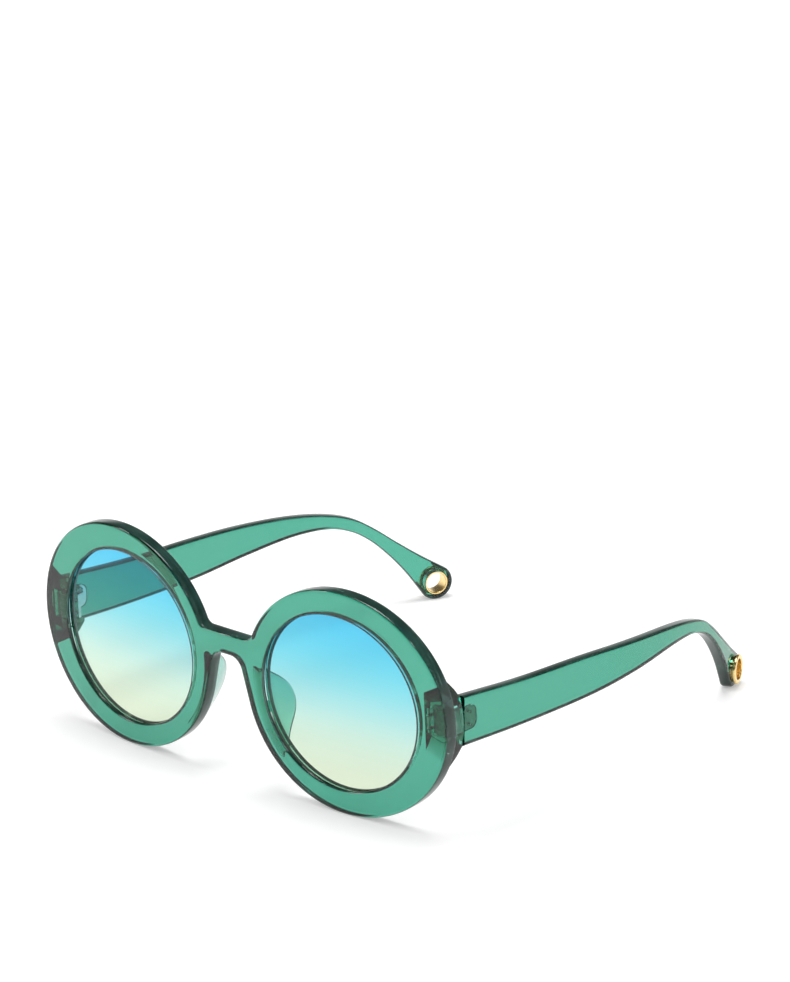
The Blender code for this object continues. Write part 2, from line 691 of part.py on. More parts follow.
def screw_mesh(name):
    """The hinge screw: a plain shank under a domed head with a slot."""
    head = hinge_top + HINGE_GAP / 2
    dome = [
        (SCREW_HEAD_RADIUS * math.cos(angle), head + SCREW_HEAD_HEIGHT * (1 + 2 * math.sin(angle)) / 3)
        for angle in (0, math.pi / 8, math.pi / 4, 3 * math.pi / 8)
    ]
    profile = [(0, hinge_bottom), (SCREW_RADIUS, hinge_bottom), (SCREW_RADIUS, head), (SCREW_HEAD_RADIUS, head)]
    profile += dome + [(0, head + SCREW_HEAD_HEIGHT)]
    form = turned_form(profile, ROUND_STEPS)
    move(form, Matrix.Translation((hinge_x, hinge_y, 0)))
    return mesh_of(name, form)


def screw_slot_mesh(name):
    top = hinge_top + HINGE_GAP / 2 + SCREW_HEAD_HEIGHT
    across, along = SCREW_SLOT_WIDTH / 2, SCREW_HEAD_RADIUS + SEAT_GAP
    low = (hinge_x - along, hinge_y - across, top - SCREW_SLOT_DEPTH)
    return box_mesh(name, low, (hinge_x + along, hinge_y + across, top + SEAT_GAP))


def smooth(values, steps):
    """A Catmull-Rom curve through values, sampled evenly between each two of them."""
    first, last = 2 * values[0] - values[1], 2 * values[-1] - values[-2]
    knots = [first, *values, last]
    found = []
    for a, b, c, d in zip(knots, knots[1:], knots[2:], knots[3:]):
        for i in range(steps):
            t = i / steps
            slope = (c - a) + t * (2 * a - 5 * b + 4 * c - d + t * (3 * b - a - 3 * c + d))
            found.append(b + t * slope / 2)
    return found + [values[-1]]


def temple_edges():
    """The temple's side outline as its top edge and its lower edge, both from the butt to the end of the boss."""
    drop = root_z - BOSS_RADIUS
    half_root = TEMPLE_ROOT_HEIGHT / 2
    along = smooth([share * TEMPLE_REACH for share in TEMPLE_ALONG_SHARES], SPAN_STEPS)
    height = smooth([root_z - share * drop for share in TEMPLE_FALL_SHARES], SPAN_STEPS)
    half = smooth([share * half_root for share in TEMPLE_HEIGHT_SHARES] + [BOSS_RADIUS], SPAN_STEPS)
    along[0] -= CUT_OVERRUN
    top, lower = [], []
    for i in range(len(along) - 1):
        ahead, behind = i + 1, max(i - 1, 0)
        run = Vector((along[ahead] - along[behind], height[ahead] - height[behind])).normalized()
        top.append((along[i] - run.y * half[i], height[i] + run.x * half[i]))
        lower.append((along[i] + run.y * half[i], height[i] - run.x * half[i]))
    fall = math.atan2(height[-1] - height[-2], along[-1] - along[-2])
    for edge, sign in ((top, 1), (lower, -1)):
        centre, start = (TEMPLE_REACH, BOSS_RADIUS), fall + sign * math.pi / 2
        edge += ellipse(centre, BOSS_RADIUS, BOSS_RADIUS, start, fall, BOSS_STEPS)[:-1]
    tip = (TEMPLE_REACH + BOSS_RADIUS * math.cos(fall), BOSS_RADIUS + BOSS_RADIUS * math.sin(fall))
    return top, lower, tip


def square_butt(form):
    """Cuts the flat temple along the plane of the end piece's leaning back face."""
    geometry = form.verts[:] + form.edges[:] + form.faces[:]
    ahead = (-math.cos(FRONT_LEAN), 0, -math.sin(FRONT_LEAN))
    cut = bmesh.ops.bisect_plane(form, geom=geometry, plane_co=(0, 0, butt.z), plane_no=ahead, clear_outer=True)
    edges = [item for item in cut["geom_cut"] if isinstance(item, bmesh.types.BMEdge)]
    bmesh.ops.contextual_create(form, geom=edges)


def temple_mesh(name):
    """The temple: slats from edge to edge, made thick, rounded all round except at the butt, and bent in plan."""
    top, lower, tip = temple_edges()
    form = bmesh.new()
    layers = []
    for side in (-TEMPLE_THICKNESS / 2, TEMPLE_THICKNESS / 2):
        uppers = [form.verts.new((along, side, up)) for along, up in top]
        lowers = [form.verts.new((along, side, up)) for along, up in lower]
        end = form.verts.new((tip[0], side, tip[1]))
        for i in range(len(top) - 1):
            form.faces.new((uppers[i], uppers[i + 1], lowers[i + 1], lowers[i]))
        form.faces.new((uppers[-1], end, lowers[-1]))
        layers.append(uppers + [end] + lowers[::-1])
    inner, outer = layers
    for i in range(len(inner)):
        form.faces.new((inner[i - 1], inner[i], outer[i], outer[i - 1]))
    bmesh.ops.recalc_face_normals(form, faces=form.faces)
    rims = []
    for layer in layers:
        rims += [form.edges.get((a, b)) for a, b in zip(layer, layer[1:])]
    rounded(form, rims, TEMPLE_EDGE_ROUND)
    square_butt(form)
    for vertex in form.verts:
        along, side, up = vertex.co
        vertex.co = (*plan(along, side), up)
    return mesh_of(name, form)


def at_eyelet(form):
    """Moves a form turned about Z to the eyelet's place, with +Z along the outward side of the tip."""
    lay = Matrix.Rotation(math.pi / 2, 4, "Y")
    turn = Matrix.Rotation(TEMPLE_PLAN_TURN, 4, "Z")
    move(form, Matrix.Translation((eyelet_x, eyelet_y, BOSS_RADIUS)) @ turn @ lay)
    return form


def eyelet_hole_mesh(name):
    reach = TEMPLE_THICKNESS / 2 + CUT_OVERRUN
    return mesh_of(name, at_eyelet(rod_form(EYELET_TUBE_RADIUS + SEAT_GAP, (0, 0, -reach), (0, 0, reach))))


def eyelet_mesh(name):
    """The gold eyelet: a tube through the boss, with a flange that stands clear of the outer side."""
    inner, end, soft = -TEMPLE_THICKNESS / 2, eyelet_end, EYELET_EDGE_ROUND
    flange = end - EYELET_FLANGE_THICKNESS
    profile = [
        (EYELET_BORE_RADIUS, inner + soft),
        (EYELET_BORE_RADIUS + soft, inner),
        (EYELET_TUBE_RADIUS, inner),
        (EYELET_TUBE_RADIUS, flange),
        (EYELET_FLANGE_RADIUS - soft, flange),
        (EYELET_FLANGE_RADIUS, flange + soft),
        (EYELET_FLANGE_RADIUS, end - soft),
        (EYELET_FLANGE_RADIUS - soft, end),
        (EYELET_BORE_RADIUS + soft, end),
        (EYELET_BORE_RADIUS, end - soft),
    ]
    return mesh_of(name, at_eyelet(turned_form(profile, ROUND_STEPS + ROUND_STEPS // 3)))


def make_front():
    front = part("front_frame", leaning(front_plate_mesh("front_frame")), greens["front"], root)
    steps = (
        (groove_mesh, "lens_grooves", "DIFFERENCE"),
        (end_piece_mesh, "end_pieces", "UNION"),
        (pad_mesh, "nose_pads", "UNION"),
        (hinge_pocket_mesh, "hinge_pockets", "DIFFERENCE"),
        (leaf_pocket_mesh, "leaf_pockets", "DIFFERENCE"),
    )
    for make, label, operation in steps:
        combine(front, pair(leaning(make(label))), operation)
    starts, run = pin_ends("front")
    for level, start in starts.items():
        hole = leaning(pin_hole_mesh(f"front_pin_hole_{level}", start, run))
        combine(front, pair(hole), "DIFFERENCE")


def make_temple(side, word, pivot):
    name = f"temple_{word}"
    temple = part(name, sided(temple_mesh(name), side), greens["temple"], pivot)
    pocket = temple_leaf_plate(f"temple_leaf_pocket_{word}", SEAT_GAP, SEAT_GAP)
    combine(temple, sided(leaning(pocket), side), "DIFFERENCE")
    combine(temple, sided(eyelet_hole_mesh(f"eyelet_hole_{word}"), side), "DIFFERENCE")
    starts, run = pin_ends("temple")
    for level, start in starts.items():
        hole = leaning(pin_hole_mesh(f"temple_pin_hole_{level}_{word}", start, run))
        combine(temple, sided(hole, side), "DIFFERENCE")
    name = f"eyelet_{word}"
    part(name, sided(eyelet_mesh(name), side), gold, pivot)


def make_hinge(side, word, pivot):
    name = f"hinge_front_leaf_{word}"
    part(name, sided(leaning(front_leaf_mesh(name)), side), steel, root)
    name = f"hinge_temple_leaf_{word}"
    part(name, sided(leaning(temple_leaf_mesh(name)), side), steel, pivot)
    name = f"hinge_screw_{word}"
    screw = part(name, sided(leaning(screw_mesh(name)), side), bright_steel, root)
    combine(screw, sided(leaning(screw_slot_mesh(f"screw_slot_{word}")), side), "DIFFERENCE")
    for leaf, parent in (("front", root), ("temple", pivot)):
        starts, run = pin_ends(leaf)
        for level, start in starts.items():
            name = f"{leaf}_pin_{level}_{word}"
            part(name, sided(leaning(pin_mesh(name, start, run)), side), steel, parent)


def make_side(side, word):
    pivot = object_of(f"temple_{word}_fold_axis", None, parts)
    pivot.parent = root
    pivot.matrix_basis = front_lean @ Matrix.Translation((side * hinge_x, hinge_y, hinge_z))
    name = f"lens_{word}"
    part(name, sided(leaning(lens_mesh(name)), side), tint, root)
    make_temple(side, word, pivot)
    make_hinge(side, word, pivot)


SIDES = ((1, "left"), (-1, "right"))

clear_scene()
parts = new_collection("round_sunglasses")
cutters = new_collection("cutters")
greens = {
    "front": new_material("translucent_green_front", FRONT_GREEN),
    "temple": new_material("translucent_green_temple", TEMPLE_GREEN),
}
tint = new_material("gradient_lens", LENS_TINT)
steel = new_material("hinge_steel", HINGE_STEEL)
bright_steel = new_material("screw_steel", SCREW_STEEL)
gold = new_material("eyelet_gold", EYELET_GOLD)
root = object_of("sunglasses_root", None, parts)
root.location = (0, -(foremost() + rearmost) / 2, 0)
make_front()
for side, word in SIDES:
    make_side(side, word)
bpy.context.view_layer.update()
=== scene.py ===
import math

import bmesh
import bpy
import numpy as np
from mathutils import Matrix, Vector


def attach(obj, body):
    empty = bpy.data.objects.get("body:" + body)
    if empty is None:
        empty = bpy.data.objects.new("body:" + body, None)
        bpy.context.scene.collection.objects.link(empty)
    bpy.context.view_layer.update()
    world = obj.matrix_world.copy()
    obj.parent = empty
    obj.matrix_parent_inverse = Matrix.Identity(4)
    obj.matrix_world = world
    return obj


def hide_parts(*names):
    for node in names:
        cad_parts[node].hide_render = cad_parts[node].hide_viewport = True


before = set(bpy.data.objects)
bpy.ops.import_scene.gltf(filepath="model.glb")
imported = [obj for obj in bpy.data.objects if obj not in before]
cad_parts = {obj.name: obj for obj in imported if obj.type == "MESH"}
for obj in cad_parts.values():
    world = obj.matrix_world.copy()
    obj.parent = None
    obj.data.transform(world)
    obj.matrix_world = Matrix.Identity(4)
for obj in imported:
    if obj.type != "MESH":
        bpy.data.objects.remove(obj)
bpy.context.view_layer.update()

# Viewpoint: the glasses are seen from their left front corner, from a little above, with a long lens.
# The aim is above them, because they stand low in the picture.
EYE = Vector((1.07828, -1.14796, 0.60193))
AIM = Vector((0.03195, -0.03984, 0.07938))
ROLL = math.radians(-1.118)
FOCAL_MM = 227.6

camera = bpy.data.objects.new("camera", bpy.data.cameras.new("camera"))
bpy.context.scene.collection.objects.link(camera)
camera.data.lens = FOCAL_MM
camera.data.clip_start, camera.data.clip_end = 0.05, 20
gaze = (AIM - EYE).to_track_quat("-Z", "Y")
camera.rotation_mode = "QUATERNION"
camera.rotation_quaternion = gaze @ Matrix.Rotation(ROLL, 3, "Z").to_quaternion()
camera.location = EYE
bpy.context.scene.camera = camera
bpy.context.scene.view_settings.view_transform = "Standard"


# Table: a wide matt white sheet that the glasses stand on. It takes their shadow, and where nothing
# shades it, it is as white as the surroundings. The lamps fade far out, so its own glow grows with distance.
TABLE_HALF = 3.0
TABLE_WHITE, TABLE_ROUGH = (0.80, 0.80, 0.80, 1.0), 0.9
GLOW_NEAR, GLOW_FAR = 0.5, 2.0
GLOW_LOW, GLOW_HIGH = 0.33, 0.60
WHITE = (1.0, 1.0, 1.0, 1.0)


def new_material(name):
    """A material, with its node tree and its shader."""
    material = bpy.data.materials.new(name)
    material.use_nodes = True
    return material, material.node_tree, material.node_tree.nodes["Principled BSDF"]


def math_node(tree, operation, first, second):
    """The sum or product of two values. A sum stops at one."""
    node = tree.nodes.new("ShaderNodeMath")
    node.operation, node.use_clamp = operation, operation == "ADD"
    tree.links.new(first, node.inputs[0])
    tree.links.new(second, node.inputs[1])
    return node.outputs[0]


def map_range(tree, source, low, high, start=0.0, end=1.0, smooth=False):
    """A node that turns a value between low and high into one between start and end."""
    node = tree.nodes.new("ShaderNodeMapRange")
    node.interpolation_type = "SMOOTHSTEP" if smooth else "LINEAR"
    for name, value in zip(("From Min", "From Max", "To Min", "To Max"), (low, high, start, end)):
        node.inputs[name].default_value = value
    tree.links.new(source, node.inputs["Value"])
    return node


corners = [(x * TABLE_HALF, y * TABLE_HALF, 0) for x, y in ((-1, -1), (1, -1), (1, 1), (-1, 1))]
sheet = bpy.data.meshes.new("table")
sheet.from_pydata(corners, [], [(0, 1, 2, 3)])
table = bpy.data.objects.new("table", sheet)
bpy.context.scene.collection.objects.link(table)
paper, tree, shader = new_material("white_table")
shader.inputs["Base Color"].default_value = TABLE_WHITE
shader.inputs["Roughness"].default_value = TABLE_ROUGH
shader.inputs["Specular IOR Level"].default_value = 0.0
shader.inputs["Emission Color"].default_value = WHITE
place = tree.nodes.new("ShaderNodeTexCoord")
away = tree.nodes.new("ShaderNodeVectorMath")
away.operation = "LENGTH"
tree.links.new(place.outputs["Object"], away.inputs[0])
lift = map_range(tree, away.outputs["Value"], GLOW_NEAR, GLOW_FAR, GLOW_LOW, GLOW_HIGH)
path = tree.nodes.new("ShaderNodeLightPath")
seen = math_node(tree, "ADD", path.outputs["Is Camera Ray"], path.outputs["Is Glossy Ray"])
seen = math_node(tree, "ADD", seen, path.outputs["Is Transmission Ray"])
tree.links.new(math_node(tree, "MULTIPLY", lift.outputs["Result"], seen), shader.inputs["Emission Strength"])
sheet.materials.append(paper)


# Surroundings: white behind the glasses. The photo's plastic has dark edges, because the studio around it
# was dark above, so what the glasses reflect or let through gets darker upwards.
SKY_SEEN, SKY_FILL = 1.0, 0.55
ROOM_FROM, ROOM_TO, ROOM_DARK = 0.10, 0.40, 0.12

sky = bpy.data.worlds.new("studio")
bpy.context.scene.world = sky
sky.use_nodes = True
tree = sky.node_tree
glow = tree.nodes["Background"]
glow.inputs["Color"].default_value = WHITE
direction = tree.nodes.new("ShaderNodeTexCoord")
axes = tree.nodes.new("ShaderNodeSeparateXYZ")
tree.links.new(direction.outputs["Generated"], axes.inputs["Vector"])
room = map_range(tree, axes.outputs["Z"], ROOM_FROM, ROOM_TO, 1.0, ROOM_DARK, smooth=True)
path = tree.nodes.new("ShaderNodeLightPath")
turned = math_node(tree, "ADD", path.outputs["Is Glossy Ray"], path.outputs["Is Transmission Ray"])
fill = tree.nodes.new("ShaderNodeMix")
fill.inputs["A"].default_value = SKY_FILL
tree.links.new(turned, fill.inputs["Factor"])
tree.links.new(room.outputs["Result"], fill.inputs["B"])
level = tree.nodes.new("ShaderNodeMix")
level.inputs["B"].default_value = SKY_SEEN
tree.links.new(path.outputs["Is Camera Ray"], level.inputs["Factor"])
tree.links.new(fill.outputs["Result"], level.inputs["A"])
tree.links.new(level.outputs["Result"], glow.inputs["Strength"])


# Lamps: a large soft panel overhead, a weaker one at the left and a small one in front, as in a light tent.
# Each has its place, the point that it faces, its width and its power.
LAMPS = (
    ("top_panel", (-0.05, 0.04, 1.00), (0.0, 0.0, 0.02), 0.50, 5.6),
    ("left_panel", (-0.75, -0.55, 0.60), (0.0, 0.0, 0.03), 0.25, 1.7),
    ("front_panel", (0.65, -0.60, 0.85), (0.0, 0.0, 0.03), 0.2, 0.8),
)
for name, place, target, width, power in LAMPS:
    light = bpy.data.lights.new(name, "AREA")
    light.shape, light.size, light.energy = "SQUARE", width, power
    lamp = bpy.data.objects.new(name, light)
    bpy.context.scene.collection.objects.link(lamp)
    lamp.location = place
    lamp.rotation_mode = "QUATERNION"
    lamp.rotation_quaternion = (Vector(target) - Vector(place)).to_track_quat("-Z", "Y")


# Front: one injection-moulded piece of clear green plastic. Two wide round rims and the bridge are a bent
# plate 4.2 mm thick with softened edges, grooved for the lenses. The nose pads and the two end pieces
# stand out of its back, and the end pieces are slotted for the hinges. FRONT_SHADED_WALLS names the quads
# round the plate's section that are its edges: they take a near-black green, painted shade for their dark look.
OPENING_WIDTH, OPENING_HEIGHT = 0.0506, 0.0481
NOSE_GAP = 0.0263
RIM_OUTER, RIM_NASAL, RIM_TOP, RIM_BOTTOM = 0.00975, 0.0062, 0.0071, 0.0067
FRONT_DEPTH = 0.0042
WRAP_RADIUS = 0.500
LEAN = math.radians(1.9)
REST_Y = -0.0708457
EDGE_ROUND = 0.0008
BRIDGE_RISE, BRIDGE_HEIGHT = 0.0108, 0.0059
BRIDGE_FILLET, ARCH_FILLET = 0.0022, 0.0040
ARCH_SLOPE = math.radians(15)
GROOVE_FRONT, GROOVE_BACK, GROOVE_DEPTH, GROOVE_CHAMFER = 0.0009, 0.0031, 0.0008, 0.0003
EDGE_MARGIN = 0.0003
SEARCH_STEPS, RIM_STEPS, BEND_STEPS = 20001, 181, 13
SLOPE_SHARES, UNDER_SHARES, OVER_SHARES = (0.2, 0.4, 0.6, 0.8), (0.75, 0.5, 0.25, 0.0), (0.0, 0.2, 0.4, 0.6, 0.8)
FRONT_SHADED_WALLS = (4, 5, 6, 7, 8, 20, 21, 22, 23, 24, 28, 29, 30, 31, 32)
PAD_TOP, PAD_BOTTOM = 0.0030, -0.0205
PAD_BACK, PAD_OUT = 0.0082, 0.0036
PAD_THICKNESS, PAD_INSET, PAD_ROOT = 0.0021, 0.0013, 0.0015
PAD_SHARES = (0.02, 0.34, 0.66, 0.88, 0.98, 1.00, 0.94, 0.80, 0.61, 0.42, 0.24, 0.02)
PAD_LEAST, PAD_ROWS, PAD_TURNS = 0.005, 67, 28
BUTT_BACK = 0.0122
END_TALL, END_SPREAD = 0.0069, 0.0072
END_LENS_TALL, END_LENS_SPREAD = 0.0048, 0.0048
END_LAND, END_ROOT, END_SIDE, END_STEPS = 0.0009, 0.0020, 0.0001, 25
END_LEVELS = (1.0, 0.66, 0.33, 0.0, 0.0, 0.0, 0.0, 0.0)
END_INSETS = (0.0, 0.0, 0.0, 0.0, 0.00002, 0.00008, 0.00018, 0.00030)
END_LIFTS = (0.0, 0.0, 0.0, 0.00030, 0.00018, 0.00008, 0.00002, 0.0)
HINGE_X, HINGE_Y, HINGE_TALL = 0.0681, 0.0110, 0.0066
KNUCKLE_RADIUS, HINGE_GAP, SEAT_GAP = 0.0015, 0.00018, 0.0002
LEAF_WIDTH, LEAF_THICKNESS = 0.0017, 0.0009
PIN_RADIUS, PIN_LENGTH, PIN_SPREAD = 0.00035, 0.0022, 0.0018
SCREW_HEAD, OVERRUN = 0.0008, 0.002
ROD_TURNS, ROD_ASIDE = 32, (0.3, 0.4, 0.87)
TEMPLE_INNER = 0.0036
WELD, TOUCH, TINY = 0.000002, 0.000001, 1e-9
PLASTIC_SHARP = 32

lens_x = (OPENING_WIDTH + NOSE_GAP) / 2
lens_z = RIM_BOTTOM + OPENING_HEIGHT / 2
rim_x, rim_z = lens_x + (RIM_OUTER - RIM_NASAL) / 2, lens_z + (RIM_TOP - RIM_BOTTOM) / 2
rim_a = (RIM_NASAL + OPENING_WIDTH + RIM_OUTER) / 2
rim_b = (RIM_TOP + OPENING_HEIGHT + RIM_BOTTOM) / 2
hinge_z = lens_z + 0.00015
temple_inner_x = rim_x + rim_a - TEMPLE_INNER


def wrap(x):
    """How far back the bent front lies at x: a circle's radius less the far side of its right triangle."""
    return WRAP_RADIUS - np.sqrt(WRAP_RADIUS**2 - np.square(x))


def stand(points):
    """Points turned about X by the lean, round the rims' lowest line, then moved to their place at rest."""
    foot_y = wrap(rim_x) + EDGE_ROUND
    x, y, z = np.moveaxis(np.asarray(points, float), -1, 0)
    y = y - foot_y
    back = foot_y + y * math.cos(LEAN) - z * math.sin(LEAN) + REST_Y
    return np.stack([x, back, y * math.sin(LEAN) + z * math.cos(LEAN)], axis=-1)


def unit(vectors):
    """Vectors of the same directions, each one long."""
    return vectors / np.linalg.norm(vectors, axis=-1, keepdims=True)


def circular(angles):
    """Points of the unit circle at angles."""
    return np.stack([np.cos(angles), np.sin(angles)], axis=-1)


def full_turn(steps):
    """Evenly spaced angles, once round."""
    return np.linspace(0, 2 * math.pi, steps + 1)[:-1]


def level_with(point, shares):
    """Points as high as one, at shares of its distance from the middle."""
    return point * np.stack([shares, np.ones(len(shares))], axis=-1)


def through(values, places):
    """A smooth curve through evenly spaced values, read at places that count in values.

    Between b and c, with a before and d after, it is the cubic with the slopes (c - a) / 2 and (d - b) / 2."""
    values = np.asarray(values, float)
    knots = np.concatenate([[2 * values[0] - values[1]], values, [2 * values[-1] - values[-2]]])
    i = np.minimum(places.astype(int), len(values) - 2)
    a, b, c, d = knots[i], knots[i + 1], knots[i + 2], knots[i + 3]
    t = places - i
    return b + t * ((c - a) + t * (2 * a - 5 * b + 4 * c - d + t * (3 * b - a - 3 * c + d))) / 2


def grid_faces(rows, columns, wrap_rows=False):
    """The quads between neighbouring points of a grid whose columns close on themselves."""
    index = np.arange(rows * columns).reshape(rows, columns)
    after = np.roll(index, -1, axis=0) if wrap_rows else index[1:]
    index = index if wrap_rows else index[:-1]
    corners = (index, np.roll(index, -1, axis=1), np.roll(after, -1, axis=1), after)
    return np.stack([corner.ravel() for corner in corners], axis=-1)


def piece_from(name, points, faces, caps=(), side=1, shaded_walls=None):
    """A closed mesh from points, faces and caps, welded, and mirrored for the wearer's right side. Where
    shaded_walls is one for a face, the face takes the piece's second material, painted shade for the dark edges."""
    mesh = bpy.data.meshes.new(name)
    placed = points.reshape(-1, 3) * (side, 1, 1)
    mesh.from_pydata(placed.tolist(), [], faces.tolist() + [list(map(int, cap)) for cap in caps])
    if shaded_walls is not None:
        mesh.polygons.foreach_set("material_index", np.append(shaded_walls, [0] * len(caps)).astype(np.int32))
    form = bmesh.new()
    form.from_mesh(mesh)
    bmesh.ops.remove_doubles(form, verts=form.verts, dist=WELD)
    bmesh.ops.recalc_face_normals(form, faces=form.faces)
    form.to_mesh(mesh)
    form.free()
    obj = bpy.data.objects.new(name, mesh)
    bpy.context.scene.collection.objects.link(obj)
    return obj


def carve(piece, tool, operation):
    """Joins a closed mesh to a piece or cuts it out, at once, and removes the tool."""
    modifier = piece.modifiers.new("carve", "BOOLEAN")
    modifier.operation, modifier.solver, modifier.object = operation, "EXACT", tool
    graph = bpy.context.evaluated_depsgraph_get()
    mesh = bpy.data.meshes.new_from_object(piece.evaluated_get(graph))
    piece.modifiers.clear()
    piece.data = mesh
    bpy.data.objects.remove(tool, do_unlink=True)


def soften(piece, sharp_degrees):
    """Smooth shading, with a crease wherever two faces meet at more than an angle."""
    piece.data.shade_smooth()
    piece.data.set_sharp_from_angle(angle=math.radians(sharp_degrees))


def both_sides(name, points, faces, caps=(), shaded_walls=None):
    """One mesh of a closed form for the wearer's left side and its mirror image for the right."""
    points = points.reshape(-1, 3)
    twice = np.concatenate([points, points * (-1, 1, 1)])
    shift = len(points)
    faces = np.concatenate([faces, faces[:, ::-1] + shift])
    caps = [list(cap) for cap in caps] + [[int(i) + shift for i in cap] for cap in caps]
    return piece_from(name, twice, faces, caps, shaded_walls=None if shaded_walls is None else np.tile(shaded_walls, 2))


def front_outline():
    """Half the front's outline: points, outward normals, and the angle of the opening that each one faces.

    The rim is an ellipse. A circle touches it and the level top of the bridge. Under the bridge a straight
    slope leaves the ellipse where it runs at the slope's own angle, and a circle turns it level."""
    search = np.linspace(math.pi / 2, math.pi, SEARCH_STEPS)
    outward = unit(circular(search) / (rim_a, rim_b))
    top = lens_z + BRIDGE_RISE
    rise = rim_z + rim_b * np.sin(search) + BRIDGE_FILLET * outward[:, 1]
    start = float(np.interp(-(top + BRIDGE_FILLET), -rise, search))
    landing = unit(circular(start) / (rim_a, rim_b))
    centre = np.array([rim_x + rim_a * math.cos(start), top + BRIDGE_FILLET])
    centre[0] += BRIDGE_FILLET * landing[0]
    slope = math.tan(ARCH_SLOPE)
    end = math.pi + math.atan(slope * rim_b / rim_a)
    foot = np.array([rim_x + rim_a * math.cos(end), rim_z + rim_b * math.sin(end)])
    under = top - BRIDGE_HEIGHT
    turn = math.pi / 2 - ARCH_SLOPE
    arch_x = foot[0] - slope * (under - foot[1]) - ARCH_FILLET * math.tan(turn / 2)
    arch = np.array([arch_x, under - ARCH_FILLET])

    rim = np.linspace(start, end - 2 * math.pi, RIM_STEPS)
    rim_points = np.array([rim_x, rim_z]) + circular(rim) * (rim_a, rim_b)
    bend = np.linspace(ARCH_SLOPE, math.pi / 2, BEND_STEPS)
    corner = arch + ARCH_FILLET * circular(bend)
    side = foot + (corner[0] - foot) * np.array(SLOPE_SHARES)[:, None]
    under_bridge = level_with(corner[-1], UNDER_SHARES)
    fillet_turn = np.linspace(-math.pi / 2, math.atan2(-landing[1], -landing[0]), BEND_STEPS)[:-1]
    fillet = centre + BRIDGE_FILLET * circular(fillet_turn)
    upper = level_with(fillet[0], OVER_SHARES)

    lower = np.concatenate([side, corner, under_bridge])
    passing = lower[:, 1] + (top - lower[:, 1]) * (NOSE_GAP / 2 - lower[:, 0]) / (lens_x - lower[:, 0])
    lower_facing = math.pi - np.arcsin((passing - lens_z) / (OPENING_HEIGHT / 2))
    upper_facing = np.linspace(lower_facing[-1], start, len(upper) + len(fillet) + 2)[1:-1]
    points = np.concatenate([rim_points, lower, upper, fillet])
    normals = np.concatenate([
        unit(circular(rim) / (rim_a, rim_b)),
        np.tile(-circular(ARCH_SLOPE), (len(side), 1)), -circular(bend),
        np.tile([0.0, -1.0], (len(under_bridge), 1)),
        np.tile([0.0, 1.0], (len(upper), 1)), -circular(fillet_turn),
    ])
    return points, normals, np.concatenate([rim, lower_facing, upper_facing])


def round_edge(depth, radius, margin, steps=5):
    """A plate's rounded edge as inset and depth: a quarter circle from its front face, the wall, and the same
    in reverse to the back face."""
    turn = np.linspace(0, math.pi / 2, steps + 1)
    front = np.stack([radius * (1 - np.sin(turn)), radius * (1 - np.cos(turn))], axis=-1)
    front = np.concatenate([[[radius + margin, 0]], front])
    return np.concatenate([front, front[::-1] * (1, -1) + (0, depth)])


def front_plate():
    """The bent plate: at each point of the outline, a section that goes over the edge, across the back, through
    the grooved edge of the opening and back across the front, then moved back by the wrap."""
    points, normals, facing = front_outline()
    outer = round_edge(FRONT_DEPTH, EDGE_ROUND, EDGE_MARGIN)
    shallow = GROOVE_DEPTH - GROOVE_CHAMFER
    groove = np.array([
        (0, GROOVE_FRONT), (shallow, GROOVE_FRONT), (GROOVE_DEPTH, GROOVE_FRONT + GROOVE_CHAMFER),
        (GROOVE_DEPTH, GROOVE_BACK - GROOVE_CHAMFER), (shallow, GROOVE_BACK), (0, GROOVE_BACK),
    ])
    middle = len(outer) // 2
    inner = np.concatenate([outer[:middle], groove, outer[middle:]])[::-1]
    half = np.array([OPENING_WIDTH, OPENING_HEIGHT]) / 2
    opening = np.array([lens_x, lens_z]) + circular(facing) * half
    outward = unit(circular(facing) / half)
    edge = points[:, None] - normals[:, None] * outer[:, :1]
    hole = opening[:, None] + outward[:, None] * inner[:, :1]
    shares = np.array([0.25, 0.5, 0.75])[:, None]
    back = edge[:, -1:] + (hole[:, :1] - edge[:, -1:]) * shares
    front = hole[:, -1:] + (edge[:, :1] - hole[:, -1:]) * shares
    flat = np.concatenate([edge, back, hole, front], axis=1)
    depth = np.concatenate([outer[:, 1], [FRONT_DEPTH] * len(shares), inner[:, 1], [0] * len(shares)])
    rows, columns = flat.shape[:2]
    solid = np.stack([flat[..., 0], depth + wrap(flat[..., 0]), flat[..., 1]], axis=-1)
    faces = grid_faces(rows, columns, wrap_rows=True)
    # The edge quads of the section take the painted shade of the dark edges.
    shaded_walls = np.isin(np.arange(len(faces)) % columns, FRONT_SHADED_WALLS)
    beside = solid.reshape(-1, 3)[faces, 0].max(axis=1) > TOUCH
    return both_sides("green_front", stand(solid), faces[beside], shaded_walls=shaded_walls[beside])


def nose_pads():
    """Both pads: down the nasal side of the rim, a flattened capsule whose reach follows a smooth curve, pushed
    back and outwards from the rim."""
    place = np.linspace(0, len(PAD_SHARES) - 1, PAD_ROWS)
    share = np.maximum(through(PAD_SHARES, place), PAD_LEAST)
    z = lens_z + PAD_TOP + (PAD_BOTTOM - PAD_TOP) * place / place[-1]
    nasal_x = rim_x - rim_a * np.sqrt(1 - np.square((z - rim_z) / rim_b))
    base = np.stack([nasal_x + PAD_INSET, FRONT_DEPTH + wrap(nasal_x) - PAD_ROOT], axis=-1)
    along = unit(np.array([PAD_OUT, PAD_BACK]))
    across = np.array([along[1], -along[0]])
    half = PAD_THICKNESS / 2
    length = share * math.hypot(PAD_OUT, PAD_BACK) + PAD_ROOT
    turn = full_turn(PAD_TURNS)
    reach = half * np.sin(turn) + np.where(np.sin(turn) > TINY, length[:, None] - half, 0)
    flat = base[:, None] + along * reach[..., None] + across * (half * np.cos(turn))[None, :, None]
    points = np.concatenate([flat, np.broadcast_to(z[:, None, None], flat.shape[:2] + (1,))], axis=-1)
    faces = grid_faces(*points.shape[:2])
    ends = np.arange(len(turn))
    return both_sides("nose_pads", stand(points), faces, (ends, ends + faces.max() + 1 - len(turn)))


